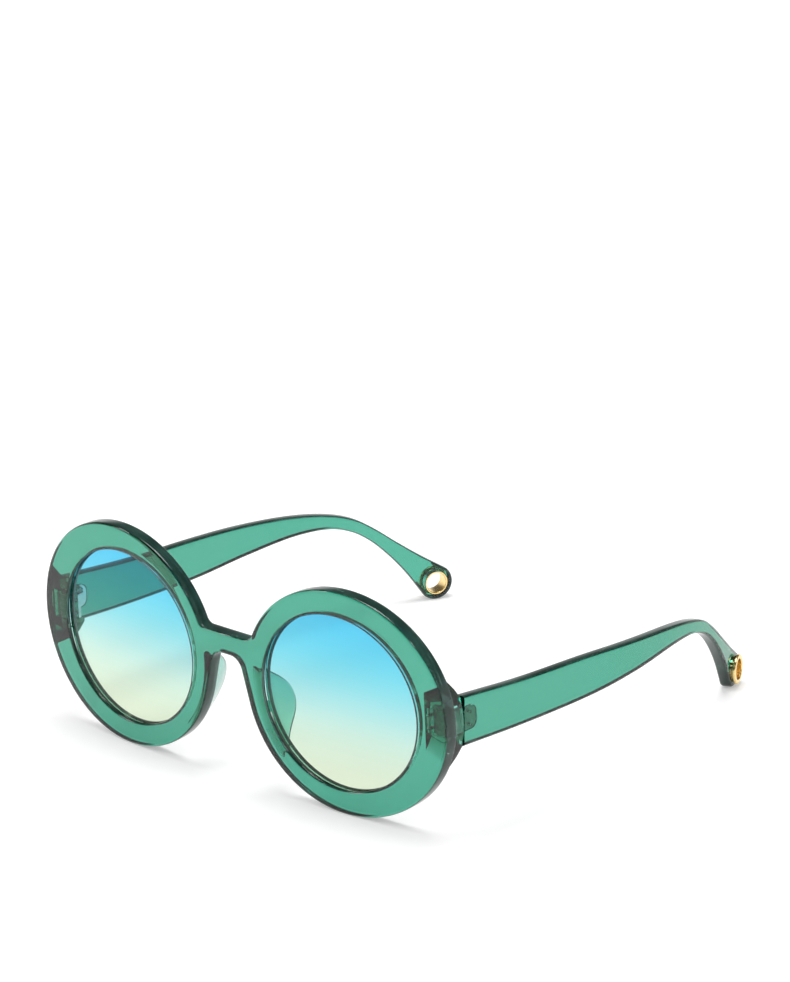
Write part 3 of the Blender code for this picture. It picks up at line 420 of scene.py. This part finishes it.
def end_pieces():
    """Both end pieces: one outline, along the rim's side and straight on the lens side, that narrows evenly
    from the rim to the flat back face, with its last edge rounded."""
    share = np.linspace(-1, 1, END_STEPS)
    level, inset, lift = (np.array(column)[:, None] for column in (END_LEVELS, END_INSETS, END_LIFTS))
    tall = END_TALL + END_SPREAD * level - inset
    z = hinge_z + share * tall
    x = rim_x + rim_a * np.sqrt(1 - np.square((z - rim_z) / rim_b)) - END_SIDE - inset
    lens_side = lens_x + OPENING_WIDTH / 2 + END_LAND + inset
    lens_tall = END_LENS_TALL + END_LENS_SPREAD * level - inset
    lens_z_row = hinge_z + np.array([1.0, 0.5, 0.0, -0.5, -1.0]) * lens_tall
    x = np.concatenate([x, np.broadcast_to(lens_side, lens_z_row.shape)], axis=1)
    z = np.concatenate([z, lens_z_row], axis=1)
    start = wrap(x) + FRONT_DEPTH - END_ROOT
    y = start + (BUTT_BACK - start) * (1 - level) - lift
    points = np.stack([x, y, z], axis=-1)
    faces = grid_faces(*points.shape[:2])
    ring = np.arange(points.shape[1])
    return both_sides("end_pieces", stand(points), faces, (ring, ring + faces.max() + 1 - len(ring)))


def block(name, low, high):
    """Two upright boxes, one for each hinge, from the corners of the wearer's left one."""
    corner = np.array(np.meshgrid(*zip(low, high), indexing="ij")).reshape(3, -1).T
    faces = np.array([(0, 1, 3, 2), (4, 6, 7, 5), (0, 4, 5, 1), (2, 3, 7, 6), (0, 2, 6, 4), (1, 5, 7, 3)])
    return both_sides(name, stand(corner), faces)


def rods(name, radius, start, end, both=True, place=stand):
    """A round rod between two points, or one on each side: a circle about the line, carried along it. No rod
    runs along ROD_ASIDE, so it gives every one a way across."""
    start, end = np.array(start), np.array(end)
    along = unit(end - start)
    across = unit(np.cross(along, ROD_ASIDE))
    turn = circular(full_turn(ROD_TURNS))
    ring = radius * (turn[:, :1] * across + turn[:, 1:] * np.cross(along, across))
    points = place(np.stack([start + ring, end + ring]))
    faces = grid_faces(2, len(turn))
    ends = np.arange(len(turn))
    make = both_sides if both else piece_from
    return make(name, points, faces, (ends, ends + len(turn)))


WAVE_DETAIL, PATCH_DETAIL, PATCH_RANGE = 1.0, 3.0, (0.35, 0.75)
PLASTIC_TONES = ((0.30, (0.95, 0.99, 0.975, 1.0)), (0.80, (0.90, 0.975, 0.95, 1.0)))
PLASTIC_POLISH = {"Wave Scale": 60.0, "Patch Scale": 45.0, "Smooth": 0.015, "Dull": 0.06}
# Painted shade for the plastic's edges: near-black green tones, mostly opaque, standing in for their dark look.
PAINTED_SHADE_TONES = ((0.35, (0.010, 0.036, 0.028, 1.0)), (0.70, (0.027, 0.080, 0.062, 1.0)))
WALL_POLISH = {"Wave Scale": 120.0, "Patch Scale": 160.0, "Smooth": 0.02, "Dull": 0.08}
WALL_CLEAR, WAVE_DEPTH = 0.28, 0.00001
PLASTIC_IOR = 1.49
PLASTIC_TAKEN = (0.367, 0.778, 0.700, 1.0)
PLASTIC_DENSITY = 955.0
# Painted shade at edges seen aslant: the facing where the darkening starts, and the share of colour left.
EDGE_SHADE_FROM, EDGE_SHADE_LEFT = 0.60, 0.12


def node_group(name, inputs, outputs):
    """A shader node group with named inputs and outputs. A default of four numbers makes a colour socket."""
    group = bpy.data.node_groups.new(name, "ShaderNodeTree")
    for way, sockets in (("INPUT", inputs), ("OUTPUT", outputs)):
        for key, default in sockets.items():
            kind = "NodeSocketColor" if isinstance(default, tuple) else "NodeSocketFloat"
            group.interface.new_socket(key, in_out=way, socket_type=kind).default_value = default
    return group, group.nodes.new("NodeGroupInput"), group.nodes.new("NodeGroupOutput")


def noise(tree, place, scale, detail):
    """A noise texture at a place, with its scale taken from a group's input."""
    node = tree.nodes.new("ShaderNodeTexNoise")
    node.inputs["Detail"].default_value = detail
    tree.links.new(place, node.inputs["Vector"])
    tree.links.new(scale, node.inputs["Scale"])
    return node.outputs["Fac"]


def colour_ramp(tree, source, stops, spline=False):
    """A value turned into a colour between stops, which are positions and colours in rising order."""
    node = tree.nodes.new("ShaderNodeValToRGB")
    ramp = node.color_ramp
    ramp.interpolation = "B_SPLINE" if spline else "LINEAR"
    for position, _ in stops[1:-1]:
        ramp.elements.new(position)
    for stop, (position, colour) in zip(ramp.elements, stops):
        stop.position, stop.color = position, colour
    tree.links.new(source, node.inputs["Fac"])
    return node.outputs["Color"]


def polish_group():
    """Moulded plastic's polish: very shallow waves left by the mould, and faint patches of duller surface."""
    inputs = {"Wave Scale": 90.0, "Patch Scale": 35.0, "Smooth": 0.02, "Dull": 0.06}
    group, into, out = node_group("moulded_polish", inputs, {"Roughness": 0.0, "Height": 0.0, "Patches": 0.0})
    place = group.nodes.new("ShaderNodeTexCoord").outputs["Object"]
    waves = noise(group, place, into.outputs["Wave Scale"], WAVE_DETAIL)
    patches = noise(group, place, into.outputs["Patch Scale"], PATCH_DETAIL)
    dull = map_range(group, patches, *PATCH_RANGE)
    group.links.new(into.outputs["Smooth"], dull.inputs["To Min"])
    group.links.new(into.outputs["Dull"], dull.inputs["To Max"])
    group.links.new(dull.outputs["Result"], out.inputs["Roughness"])
    group.links.new(waves, out.inputs["Height"])
    group.links.new(patches, out.inputs["Patches"])
    return group


moulded_polish = polish_group()


def bump_into(tree, shader, height, depth):
    """A height of nought to one, raised by a depth in metres, as the shader's normal."""
    bump = tree.nodes.new("ShaderNodeBump")
    bump.inputs["Strength"].default_value = 1.0
    bump.inputs["Distance"].default_value = depth
    tree.links.new(height, bump.inputs["Height"])
    tree.links.new(bump.outputs["Normal"], shader.inputs["Normal"])


def place_polish(tree, shader, values, depth):
    """Puts the polish group into a material, its roughness on the shader and its waves through a bump."""
    polish = tree.nodes.new("ShaderNodeGroup")
    polish.node_tree = moulded_polish
    for name, value in values.items():
        polish.inputs[name].default_value = value
    bump_into(tree, shader, polish.outputs["Height"], depth)
    tree.links.new(polish.outputs["Roughness"], shader.inputs["Roughness"])
    return polish


def plastic_material(name, density):
    """Clear coloured plastic: a polished glassy surface, and a dye inside that takes light by the depth it
    crosses. Its colour is darkened where the surface is seen aslant, a painted shade for the dark softened
    edges."""
    material, tree, shader = new_material(name)
    shader.inputs["IOR"].default_value = PLASTIC_IOR
    shader.inputs["Transmission Weight"].default_value = 1.0
    polish = place_polish(tree, shader, PLASTIC_POLISH, WAVE_DEPTH)
    # Painted shade: the colour is darkened by how aslant the surface is seen.
    slant = tree.nodes.new("ShaderNodeLayerWeight")
    painted_edge_shade = map_range(tree, slant.outputs["Facing"], EDGE_SHADE_FROM, 1.0, 1.0, EDGE_SHADE_LEFT, smooth=True)
    edge_shaded_tone = tree.nodes.new("ShaderNodeVectorMath")
    edge_shaded_tone.operation = "SCALE"
    tree.links.new(colour_ramp(tree, polish.outputs["Patches"], PLASTIC_TONES), edge_shaded_tone.inputs[0])
    tree.links.new(painted_edge_shade.outputs["Result"], edge_shaded_tone.inputs["Scale"])
    tree.links.new(edge_shaded_tone.outputs["Vector"], shader.inputs["Base Color"])
    dye = tree.nodes.new("ShaderNodeVolumeAbsorption")
    dye.inputs["Color"].default_value = PLASTIC_TAKEN
    dye.inputs["Density"].default_value = density
    tree.links.new(dye.outputs["Volume"], tree.nodes["Material Output"].inputs["Volume"])
    return material


def painted_shade_wall_material(name):
    """Painted shade for the plastic's edges, where hardly any light from the pale table comes through: a nearly
    black green in soft patches, partly clear, under the same polish."""
    material, tree, shader = new_material(name)
    shader.inputs["IOR"].default_value = PLASTIC_IOR
    shader.inputs["Transmission Weight"].default_value = WALL_CLEAR
    polish = place_polish(tree, shader, WALL_POLISH, WAVE_DEPTH)
    tree.links.new(colour_ramp(tree, polish.outputs["Patches"], PAINTED_SHADE_TONES), shader.inputs["Base Color"])
    return material


def cover(piece, *materials):
    """Gives a piece its materials, in the order that its faces count them."""
    for material in materials:
        piece.data.materials.append(material)


def finish(piece, body, slot, *nodes):
    """Gives a finished piece the CAD body that it rides and hides the nodes that it stands for. The slot is not
    used.
    """
    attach(piece, body)
    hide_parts(*nodes)


green = plastic_material("clear_green_plastic", PLASTIC_DENSITY)
# The second material is painted shade for the dark edges of the plastic.
painted_shade_edge = painted_shade_wall_material("painted_shade_plastic_edge")
front = front_plate()
cover(front, green, painted_shade_edge)
carve(front, end_pieces(), "UNION")
carve(front, nose_pads(), "UNION")
hinge_low, hinge_high = hinge_z - HINGE_TALL / 2, hinge_z + HINGE_TALL / 2
clear = KNUCKLE_RADIUS + HINGE_GAP + SEAT_GAP
slot_low = (HINGE_X - clear, HINGE_Y - clear, hinge_low - SEAT_GAP)
head_high = hinge_high + SCREW_HEAD + HINGE_GAP + SEAT_GAP
slot_high = (temple_inner_x + LEAF_THICKNESS + SEAT_GAP, BUTT_BACK + OVERRUN, head_high)
carve(front, block("hinge_slots", slot_low, slot_high), "DIFFERENCE")
leaf_out = HINGE_X - KNUCKLE_RADIUS - HINGE_GAP
leaf_low = (leaf_out - LEAF_WIDTH - SEAT_GAP, HINGE_Y - LEAF_THICKNESS - SEAT_GAP, hinge_low - SEAT_GAP)
leaf_high = (leaf_out, BUTT_BACK + OVERRUN, hinge_high + SEAT_GAP)
carve(front, block("leaf_slots", leaf_low, leaf_high), "DIFFERENCE")
pin_x = leaf_out - LEAF_WIDTH / 2
for level in (-PIN_SPREAD, PIN_SPREAD):
    pin_end = (pin_x, HINGE_Y - PIN_LENGTH - SEAT_GAP, hinge_z + level)
    pin_start = (pin_x, HINGE_Y + OVERRUN, hinge_z + level)
    carve(front, rods("pin_holes", PIN_RADIUS + HINGE_GAP / 2, pin_start, pin_end), "DIFFERENCE")
soften(front, PLASTIC_SHARP)
finish(front, "front", "front_green", "front_frame")


# Lenses: flat-looking plastic lenses, bent like the front, with a small chamfer round the edge that sits in
# the rim's groove. The tint is dipped: bright blue at the top, fading to a pale straw green at the bottom.
# Each tint is a height above the table and the colour there.
LENS_THICKNESS, LENS_SETBACK, LENS_SEAT, LENS_CHAMFER = 0.0018, 0.0011, 0.0006, 0.0003
LENS_RINGS = (0.0, 0.15, 0.3, 0.45, 0.6, 0.75, 0.88, 0.96)
LENS_TURNS, LENS_SHARP = 192, 30
LENS_IOR = 1.30
LENS_POLISH, LENS_WAVE_DEPTH = {"Wave Scale": 12.0, "Patch Scale": 60.0, "Smooth": 0.0, "Dull": 0.02}, 0.000004
LENS_TINTS = (
    (0.0072, (0.698, 0.783, 0.595, 1.0)),
    (0.0150, (0.660, 0.775, 0.611, 1.0)),
    (0.0225, (0.543, 0.745, 0.648, 1.0)),
    (0.0290, (0.387, 0.682, 0.671, 1.0)),
    (0.0370, (0.208, 0.621, 0.694, 1.0)),
    (0.0450, (0.124, 0.573, 0.736, 1.0)),
    (0.0550, (0.068, 0.479, 0.741, 1.0)),
)


def lens_surface():
    """A bent disc: rings of the opening's ellipse, grown by the seat and shrunk by a share, over the front, the
    chamfered edge and the back."""
    chamfer = LENS_CHAMFER / (OPENING_WIDTH / 2)
    share = np.concatenate([LENS_RINGS, [1 - chamfer, 1, 1, 1 - chamfer], LENS_RINGS[::-1]])
    depth = np.full(len(share), LENS_SETBACK)
    half = len(share) // 2
    depth[half:] += LENS_THICKNESS
    depth[half - 1] += LENS_CHAMFER
    depth[half] -= LENS_CHAMFER
    turn = circular(full_turn(LENS_TURNS))
    size = (OPENING_WIDTH / 2 + LENS_SEAT, OPENING_HEIGHT / 2 + LENS_SEAT)
    flat = np.array([lens_x, lens_z]) + share[:, None, None] * (turn * size)
    y = depth[:, None] + wrap(flat[..., 0])
    points = np.stack([flat[..., 0], y, flat[..., 1]], axis=-1)
    return stand(points), grid_faces(*points.shape[:2])


def lens_material(name):
    """Clear tinted lens: its colour follows the height on the lens through a ramp of the dipped tint."""
    material, tree, shader = new_material(name)
    shader.inputs["IOR"].default_value = LENS_IOR
    shader.inputs["Transmission Weight"].default_value = 1.0
    place_polish(tree, shader, LENS_POLISH, LENS_WAVE_DEPTH)
    place = tree.nodes.new("ShaderNodeTexCoord")
    axes = tree.nodes.new("ShaderNodeSeparateXYZ")
    tree.links.new(place.outputs["Object"], axes.inputs["Vector"])
    low, high = LENS_TINTS[0][0], LENS_TINTS[-1][0]
    height = map_range(tree, axes.outputs["Z"], low, high)
    stops = [((z - low) / (high - low), colour) for z, colour in LENS_TINTS]
    tint = colour_ramp(tree, height.outputs["Result"], stops, spline=True)
    tree.links.new(tint, shader.inputs["Base Color"])
    return material


dipped = lens_material("dipped_tint")
for side, word in ((1, "left"), (-1, "right")):
    points, faces = lens_surface()
    lens = piece_from(f"tinted_lens_{word}", points, faces, side=side)
    soften(lens, LENS_SHARP)
    cover(lens, dipped)
    finish(lens, "front", "lens_tint", f"lens_{word}")


# Hinges: nickel-plated brass leaves with five meeting knuckles, pressed and tumbled, so the plating is a soft
# grey with faint streaks. The screws are plain bright steel, and small pins hold the leaves in the plastic.
NICKEL_LIGHT, NICKEL_DARK = (0.66, 0.69, 0.66, 1.0), (0.46, 0.49, 0.46, 1.0)
NICKEL_ROUGH, NICKEL_DEPTH = (0.25, 0.45), 0.00001
STEEL_LIGHT, STEEL_DARK = (0.66, 0.66, 0.64, 1.0), (0.44, 0.44, 0.43, 1.0)
STEEL_ROUGH, STEEL_DEPTH = (0.18, 0.34), 0.000006
STREAK_STRETCH, STREAK_DETAIL, SPOT_DETAIL = (4000.0, 4000.0, 500.0), 2.0, 4.0
STREAK_SCALE, SPOT_SCALE, WORN_RANGE = 1.0, 600.0, (0.10, 0.45)


def wear_group():
    """Worked metal: streaks drawn out along one way, and soft spots where handling has dulled it."""
    names = ("Streak Scale", "Spot Scale", "Light", "Dark", "Smooth", "Rough")
    inputs = dict(zip(names, (STREAK_SCALE, SPOT_SCALE, NICKEL_LIGHT, NICKEL_DARK) + NICKEL_ROUGH))
    outputs = {"Color": NICKEL_LIGHT, "Roughness": 0.0, "Height": 0.0}
    group, into, out = node_group("worked_metal", inputs, outputs)
    links = group.links
    place = group.nodes.new("ShaderNodeTexCoord").outputs["Object"]
    stretch = group.nodes.new("ShaderNodeMapping")
    stretch.inputs["Scale"].default_value = STREAK_STRETCH
    links.new(place, stretch.inputs["Vector"])
    streaks = noise(group, stretch.outputs["Vector"], into.outputs["Streak Scale"], STREAK_DETAIL)
    spots = noise(group, place, into.outputs["Spot Scale"], SPOT_DETAIL)
    worn = map_range(group, math_node(group, "MULTIPLY", streaks, spots), *WORN_RANGE).outputs["Result"]
    colour = group.nodes.new("ShaderNodeMix")
    colour.data_type = "RGBA"
    links.new(worn, colour.inputs["Factor"])
    links.new(into.outputs["Light"], colour.inputs["A"])
    links.new(into.outputs["Dark"], colour.inputs["B"])
    rough = map_range(group, worn, 0.0, 1.0)
    links.new(into.outputs["Smooth"], rough.inputs["To Min"])
    links.new(into.outputs["Rough"], rough.inputs["To Max"])
    links.new(colour.outputs["Result"], out.inputs["Color"])
    links.new(rough.outputs["Result"], out.inputs["Roughness"])
    links.new(streaks, out.inputs["Height"])
    return group


worked_metal = wear_group()


def metal_material(name, light, dark, roughness, depth):
    """A worked metal: the group's colour and roughness, and its streaks as fine scratches."""
    material, tree, shader = new_material(name)
    shader.inputs["Metallic"].default_value = 1.0
    wear = tree.nodes.new("ShaderNodeGroup")
    wear.node_tree = worked_metal
    for key, value in zip(("Light", "Dark", "Smooth", "Rough"), (light, dark) + roughness):
        wear.inputs[key].default_value = value
    bump_into(tree, shader, wear.outputs["Height"], depth)
    tree.links.new(wear.outputs["Color"], shader.inputs["Base Color"])
    tree.links.new(wear.outputs["Roughness"], shader.inputs["Roughness"])
    return material


nickel = metal_material("plated_nickel", NICKEL_LIGHT, NICKEL_DARK, NICKEL_ROUGH, NICKEL_DEPTH)
bright_steel = metal_material("bright_steel", STEEL_LIGHT, STEEL_DARK, STEEL_ROUGH, STEEL_DEPTH)
for word in ("left", "right"):
    finishes = {f"hinge_screw_{word}": bright_steel}
    for leaf in ("front", "temple"):
        finishes[f"hinge_{leaf}_leaf_{word}"] = nickel
        for level in ("upper", "lower"):
            finishes[f"{leaf}_pin_{level}_{word}"] = nickel
    for node, metal in finishes.items():
        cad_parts[node].data.materials.clear()
        cover(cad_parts[node], metal)


# Temples: moulded in the same clear green plastic, deep at the hinge and slim towards the ear, with softened
# edges. Each is curved inwards, drops behind the ear and ends in a round boss that stands on the table.
# TEMPLE_SHADED_WALLS names the quads round a section, and BOSS_SHADED_WALLS those added past BOSS_ROW, on the
# boss, that take painted shade for the dark edges.
TEMPLE_THICKNESS, TEMPLE_ROUND = 0.0034, 0.0008
TEMPLE_X, BUTT_FRONT = 0.0716, 0.0125
BUTT_FADE = 0.012
TEMPLE_TALL, TEMPLE_RISE = 0.0136, 0.0006
TEMPLE_REACH, STRAIGHT, CURVE_RADIUS, CURVE_TURN = 0.1294, 0.0555, 0.157, math.radians(25)
BOSS_RADIUS, EYELET_TUBE = 0.0050, 0.00335
ALONG_SHARES = (0.0, 0.18, 0.37, 0.52, 0.65, 0.74, 0.80, 0.85, 0.90, 0.95, 1.0)
FALL_SHARES = (0.0, 0.047, 0.062, 0.057, 0.057, 0.100, 0.190, 0.339, 0.542, 0.765, 1.0)
TALL_SHARES = (1.0, 0.912, 0.830, 0.641, 0.425, 0.300, 0.271, 0.265, 0.325, 0.479)
TEMPLE_ROWS, TIP_STEPS, CORNER_STEPS = 181, 33, 9
LEAF_LENGTH, LEAF_TALL, LEAF_NOSE = 0.0056, 0.0062, 0.0008
TEMPLE_PIN_BACK, BOSS_REACH = 0.0028, 0.004
TEMPLE_DENSITY = 1175.0
TEMPLE_SHADED_WALLS = (3, 4, 5, 6, 7, 8, 9, 21, 22, 23, 24, 25, 26, 27)
BOSS_SHADED_WALLS, BOSS_ROW = (1, 2, 10, 11, 19, 20, 28, 29), 168

butt = stand((TEMPLE_X, BUTT_FRONT, hinge_z)) - (0, REST_Y, 0)
middle_z = stand((0, 0, lens_z))[2] + TEMPLE_RISE


def curve_in(along, off):
    """Where a point of the temple lies from above: straight back, then along a circle, then straight again,
    with its distance off the middle at right angles to that."""
    turn = np.clip((along - STRAIGHT) / CURVE_RADIUS, 0, CURVE_TURN)
    rest = np.maximum(along - STRAIGHT - CURVE_RADIUS * CURVE_TURN, 0)
    inward = CURVE_RADIUS * (1 - np.cos(turn)) + rest * np.sin(turn)
    back = np.minimum(along, STRAIGHT) + CURVE_RADIUS * np.sin(turn) + rest * np.cos(turn)
    return butt[0] - inward + off * np.cos(turn), butt[1] + REST_Y + back + off * np.sin(turn)


def temple_side():
    """The temple's upper and lower edge from the side. Both follow one smooth middle line, half a smooth depth
    away from it at right angles, and end in the circle of the boss, where they meet at the tip."""
    place = np.linspace(0, len(ALONG_SHARES) - 1, TEMPLE_ROWS)
    along = through(np.array(ALONG_SHARES) * TEMPLE_REACH, place)
    height = through(middle_z - np.array(FALL_SHARES) * (middle_z - BOSS_RADIUS), place)
    half = through(np.append(np.array(TALL_SHARES) * TEMPLE_TALL / 2, BOSS_RADIUS), place)
    line = np.stack([along, height], axis=-1)
    run = unit(np.gradient(line, axis=0))
    up = np.stack([-run[:, 1], run[:, 0]], axis=-1)
    fall = math.atan2(run[-1, 1], run[-1, 0])
    quarter = np.linspace(math.pi / 2, 0, TIP_STEPS)
    boss = np.array([TEMPLE_REACH, BOSS_RADIUS])
    top = np.concatenate([(line + up * half[:, None])[:-1], boss + BOSS_RADIUS * circular(fall + quarter)])
    low = np.concatenate([(line - up * half[:, None])[:-1], boss + BOSS_RADIUS * circular(fall - quarter)])
    return top, low


def temple_surface():
    """A section at each place along the temple: over the upper edge, down the outer side, round the lower edge
    and up the inner side. The edges are quarter circles set in at right angles to the outline. The first
    section lies in the leaning plane of the butt, and the whole is then curved inwards."""
    top, low = temple_side()
    edge = round_edge(TEMPLE_THICKNESS, TEMPLE_ROUND, EDGE_MARGIN)
    edge[:, 1] -= TEMPLE_THICKNESS / 2
    outline = np.concatenate([top, low[-2::-1]])
    run = unit(np.gradient(outline, axis=0))
    inward = np.stack([run[:, 1], -run[:, 0]], axis=-1)
    top_in, low_in = inward[:len(top)], inward[len(top) - 1:][::-1]
    upper = top[:, None] + top_in[:, None] * edge[:, :1]
    lower = (low[:, None] + low_in[:, None] * edge[:, :1])[:, ::-1]
    shares = np.array([0.2, 0.4, 0.6, 0.8])[:, None]
    outer = upper[:, -1:] + (lower[:, :1] - upper[:, -1:]) * shares
    inner = lower[:, -1:] + (upper[:, :1] - lower[:, -1:]) * shares
    flat = np.concatenate([upper, outer, lower, inner], axis=1)
    off = np.concatenate([edge[:, 1], [edge[-1, 1]] * len(shares), edge[::-1, 1], [edge[0, 1]] * len(shares)])
    fade = np.clip(1 - flat[..., 0] / BUTT_FADE, 0, 1)
    along = flat[..., 0] - (flat[..., 1] - butt[2]) * math.tan(LEAN) * fade
    x, y = curve_in(along, off)
    return np.stack([x, y, flat[..., 1]], axis=-1)


def leaf_pocket(side):
    """The shallow pocket for the hinge leaf: a plate square in front and round behind, a seat gap larger."""
    tall = LEAF_TALL / 2 + SEAT_GAP
    corner = LEAF_TALL / 3
    end = BUTT_FRONT + LEAF_LENGTH + SEAT_GAP - corner
    turn = circular(np.linspace(-math.pi / 2, 0, CORNER_STEPS))
    round_low = (end, hinge_z - tall + corner) + corner * turn
    round_high = (end, hinge_z + tall - corner) + corner * turn[::-1] * (1, -1)
    front_y = HINGE_Y - LEAF_NOSE
    outline = np.concatenate([[(front_y, hinge_z - tall)], round_low, round_high, [(front_y, hinge_z + tall)]])
    x = np.array([temple_inner_x - SEAT_GAP, temple_inner_x + LEAF_THICKNESS + SEAT_GAP])
    points = np.stack(np.broadcast_arrays(x[:, None], outline[:, 0], outline[:, 1]), axis=-1)
    ring = np.arange(len(outline))
    faces = grid_faces(*points.shape[:2])
    return piece_from("leaf_pocket", stand(points), faces, (ring, ring + len(ring)), side)


def at_boss(along, off, up):
    """A point beside the boss's centre: along the tip, off to the outer side, and up."""
    x, y = curve_in(np.array(TEMPLE_REACH), 0.0)
    cos, sin = math.cos(CURVE_TURN), math.sin(CURVE_TURN)
    return np.stack([x - along * sin + off * cos, y + along * cos + off * sin, BOSS_RADIUS + up], axis=-1)


temple_green = plastic_material("clear_green_temple", TEMPLE_DENSITY)
for side, word in ((1, "left"), (-1, "right")):
    points = temple_surface()
    ring = np.arange(points.shape[1])
    faces = grid_faces(*points.shape[:2])
    column, row = np.arange(len(faces)) % len(ring), np.arange(len(faces)) // len(ring)
    # The edge quads of the section, and those on the boss, take the painted shade of the dark edges.
    shaded_walls = np.isin(column, TEMPLE_SHADED_WALLS) | np.isin(column, BOSS_SHADED_WALLS) & (row > BOSS_ROW)
    temple = piece_from(f"green_temple_{word}", points, faces, (ring,), side, shaded_walls)
    cover(temple, temple_green, painted_shade_edge)
    carve(temple, leaf_pocket(side), "DIFFERENCE")
    holes = [(EYELET_TUBE + SEAT_GAP, [at_boss(0, off, 0) for off in (-BOSS_REACH, BOSS_REACH)])]
    for level in (-PIN_SPREAD, PIN_SPREAD):
        deep = [temple_inner_x + reach for reach in (-OVERRUN, PIN_LENGTH + SEAT_GAP)]
        ends = [stand((x, BUTT_FRONT + TEMPLE_PIN_BACK, hinge_z + level)) for x in deep]
        holes.append((PIN_RADIUS + HINGE_GAP / 2, ends))
    for radius, ends in holes:
        ends = [end * (side, 1, 1) for end in ends]
        carve(temple, rods("hole", radius, *ends, both=False, place=np.asarray), "DIFFERENCE")
    soften(temple, PLASTIC_SHARP)
    finish(temple, f"temple_{word}", "temple_green", f"temple_{word}")


# Eyelets: turned brass tubes, plated in polished gold, pressed through the boss at each tip. A rounded flange
# stands a little off the outer side.
EYELET_BORE, FLANGE_RADIUS, FLANGE_THICKNESS = 0.0029, 0.0041, 0.0008
EYELET_NECK, EYELET_ROUND = 0.0005, 0.00025
EYELET_STEPS, EYELET_TURNS, EYELET_SHARP = 6, 128, 40
GOLD_LIGHT, GOLD_DARK = (0.95, 0.74, 0.36, 1.0), (0.86, 0.60, 0.22, 1.0)
GOLD_ROUGH, GOLD_DEPTH = (0.16, 0.32), 0.000003


def eyelet_profile():
    """Half the eyelet's section as radius and height: each edge is a quarter circle about its own centre."""
    inner, end = -TEMPLE_THICKNESS / 2, TEMPLE_THICKNESS / 2 + EYELET_NECK + FLANGE_THICKNESS
    soft = EYELET_ROUND
    quarter = np.linspace(0, math.pi / 2, EYELET_STEPS)
    corners = (
        ((EYELET_BORE + soft, inner + soft), math.pi), ((EYELET_TUBE, inner), None),
        ((EYELET_TUBE, end - FLANGE_THICKNESS), None),
        ((FLANGE_RADIUS - soft, end - FLANGE_THICKNESS + soft), -math.pi / 2),
        ((FLANGE_RADIUS - soft, end - soft), 0.0), ((EYELET_BORE + soft, end - soft), math.pi / 2),
    )
    rounded = [centre + soft * circular((start or 0) + quarter) for centre, start in corners]
    rows = [row if start is not None else [centre] for row, (centre, start) in zip(rounded, corners)]
    return np.concatenate(rows)


def eyelet_surface():
    """The profile turned about the line through the boss."""
    profile = eyelet_profile()
    turn = circular(full_turn(EYELET_TURNS))
    radius, height = profile[:, :1], profile[:, 1:]
    points = at_boss(radius * turn[:, 0], height + 0 * turn[:, 0], radius * turn[:, 1])
    return points, grid_faces(*points.shape[:2], wrap_rows=True)


gold = metal_material("polished_gold", GOLD_LIGHT, GOLD_DARK, GOLD_ROUGH, GOLD_DEPTH)
for side, word in ((1, "left"), (-1, "right")):
    points, faces = eyelet_surface()
    eyelet = piece_from(f"gold_eyelet_{word}", points, faces, side=side)
    soften(eyelet, EYELET_SHARP)
    cover(eyelet, gold)
    finish(eyelet, f"temple_{word}", "gold", f"eyelet_{word}")
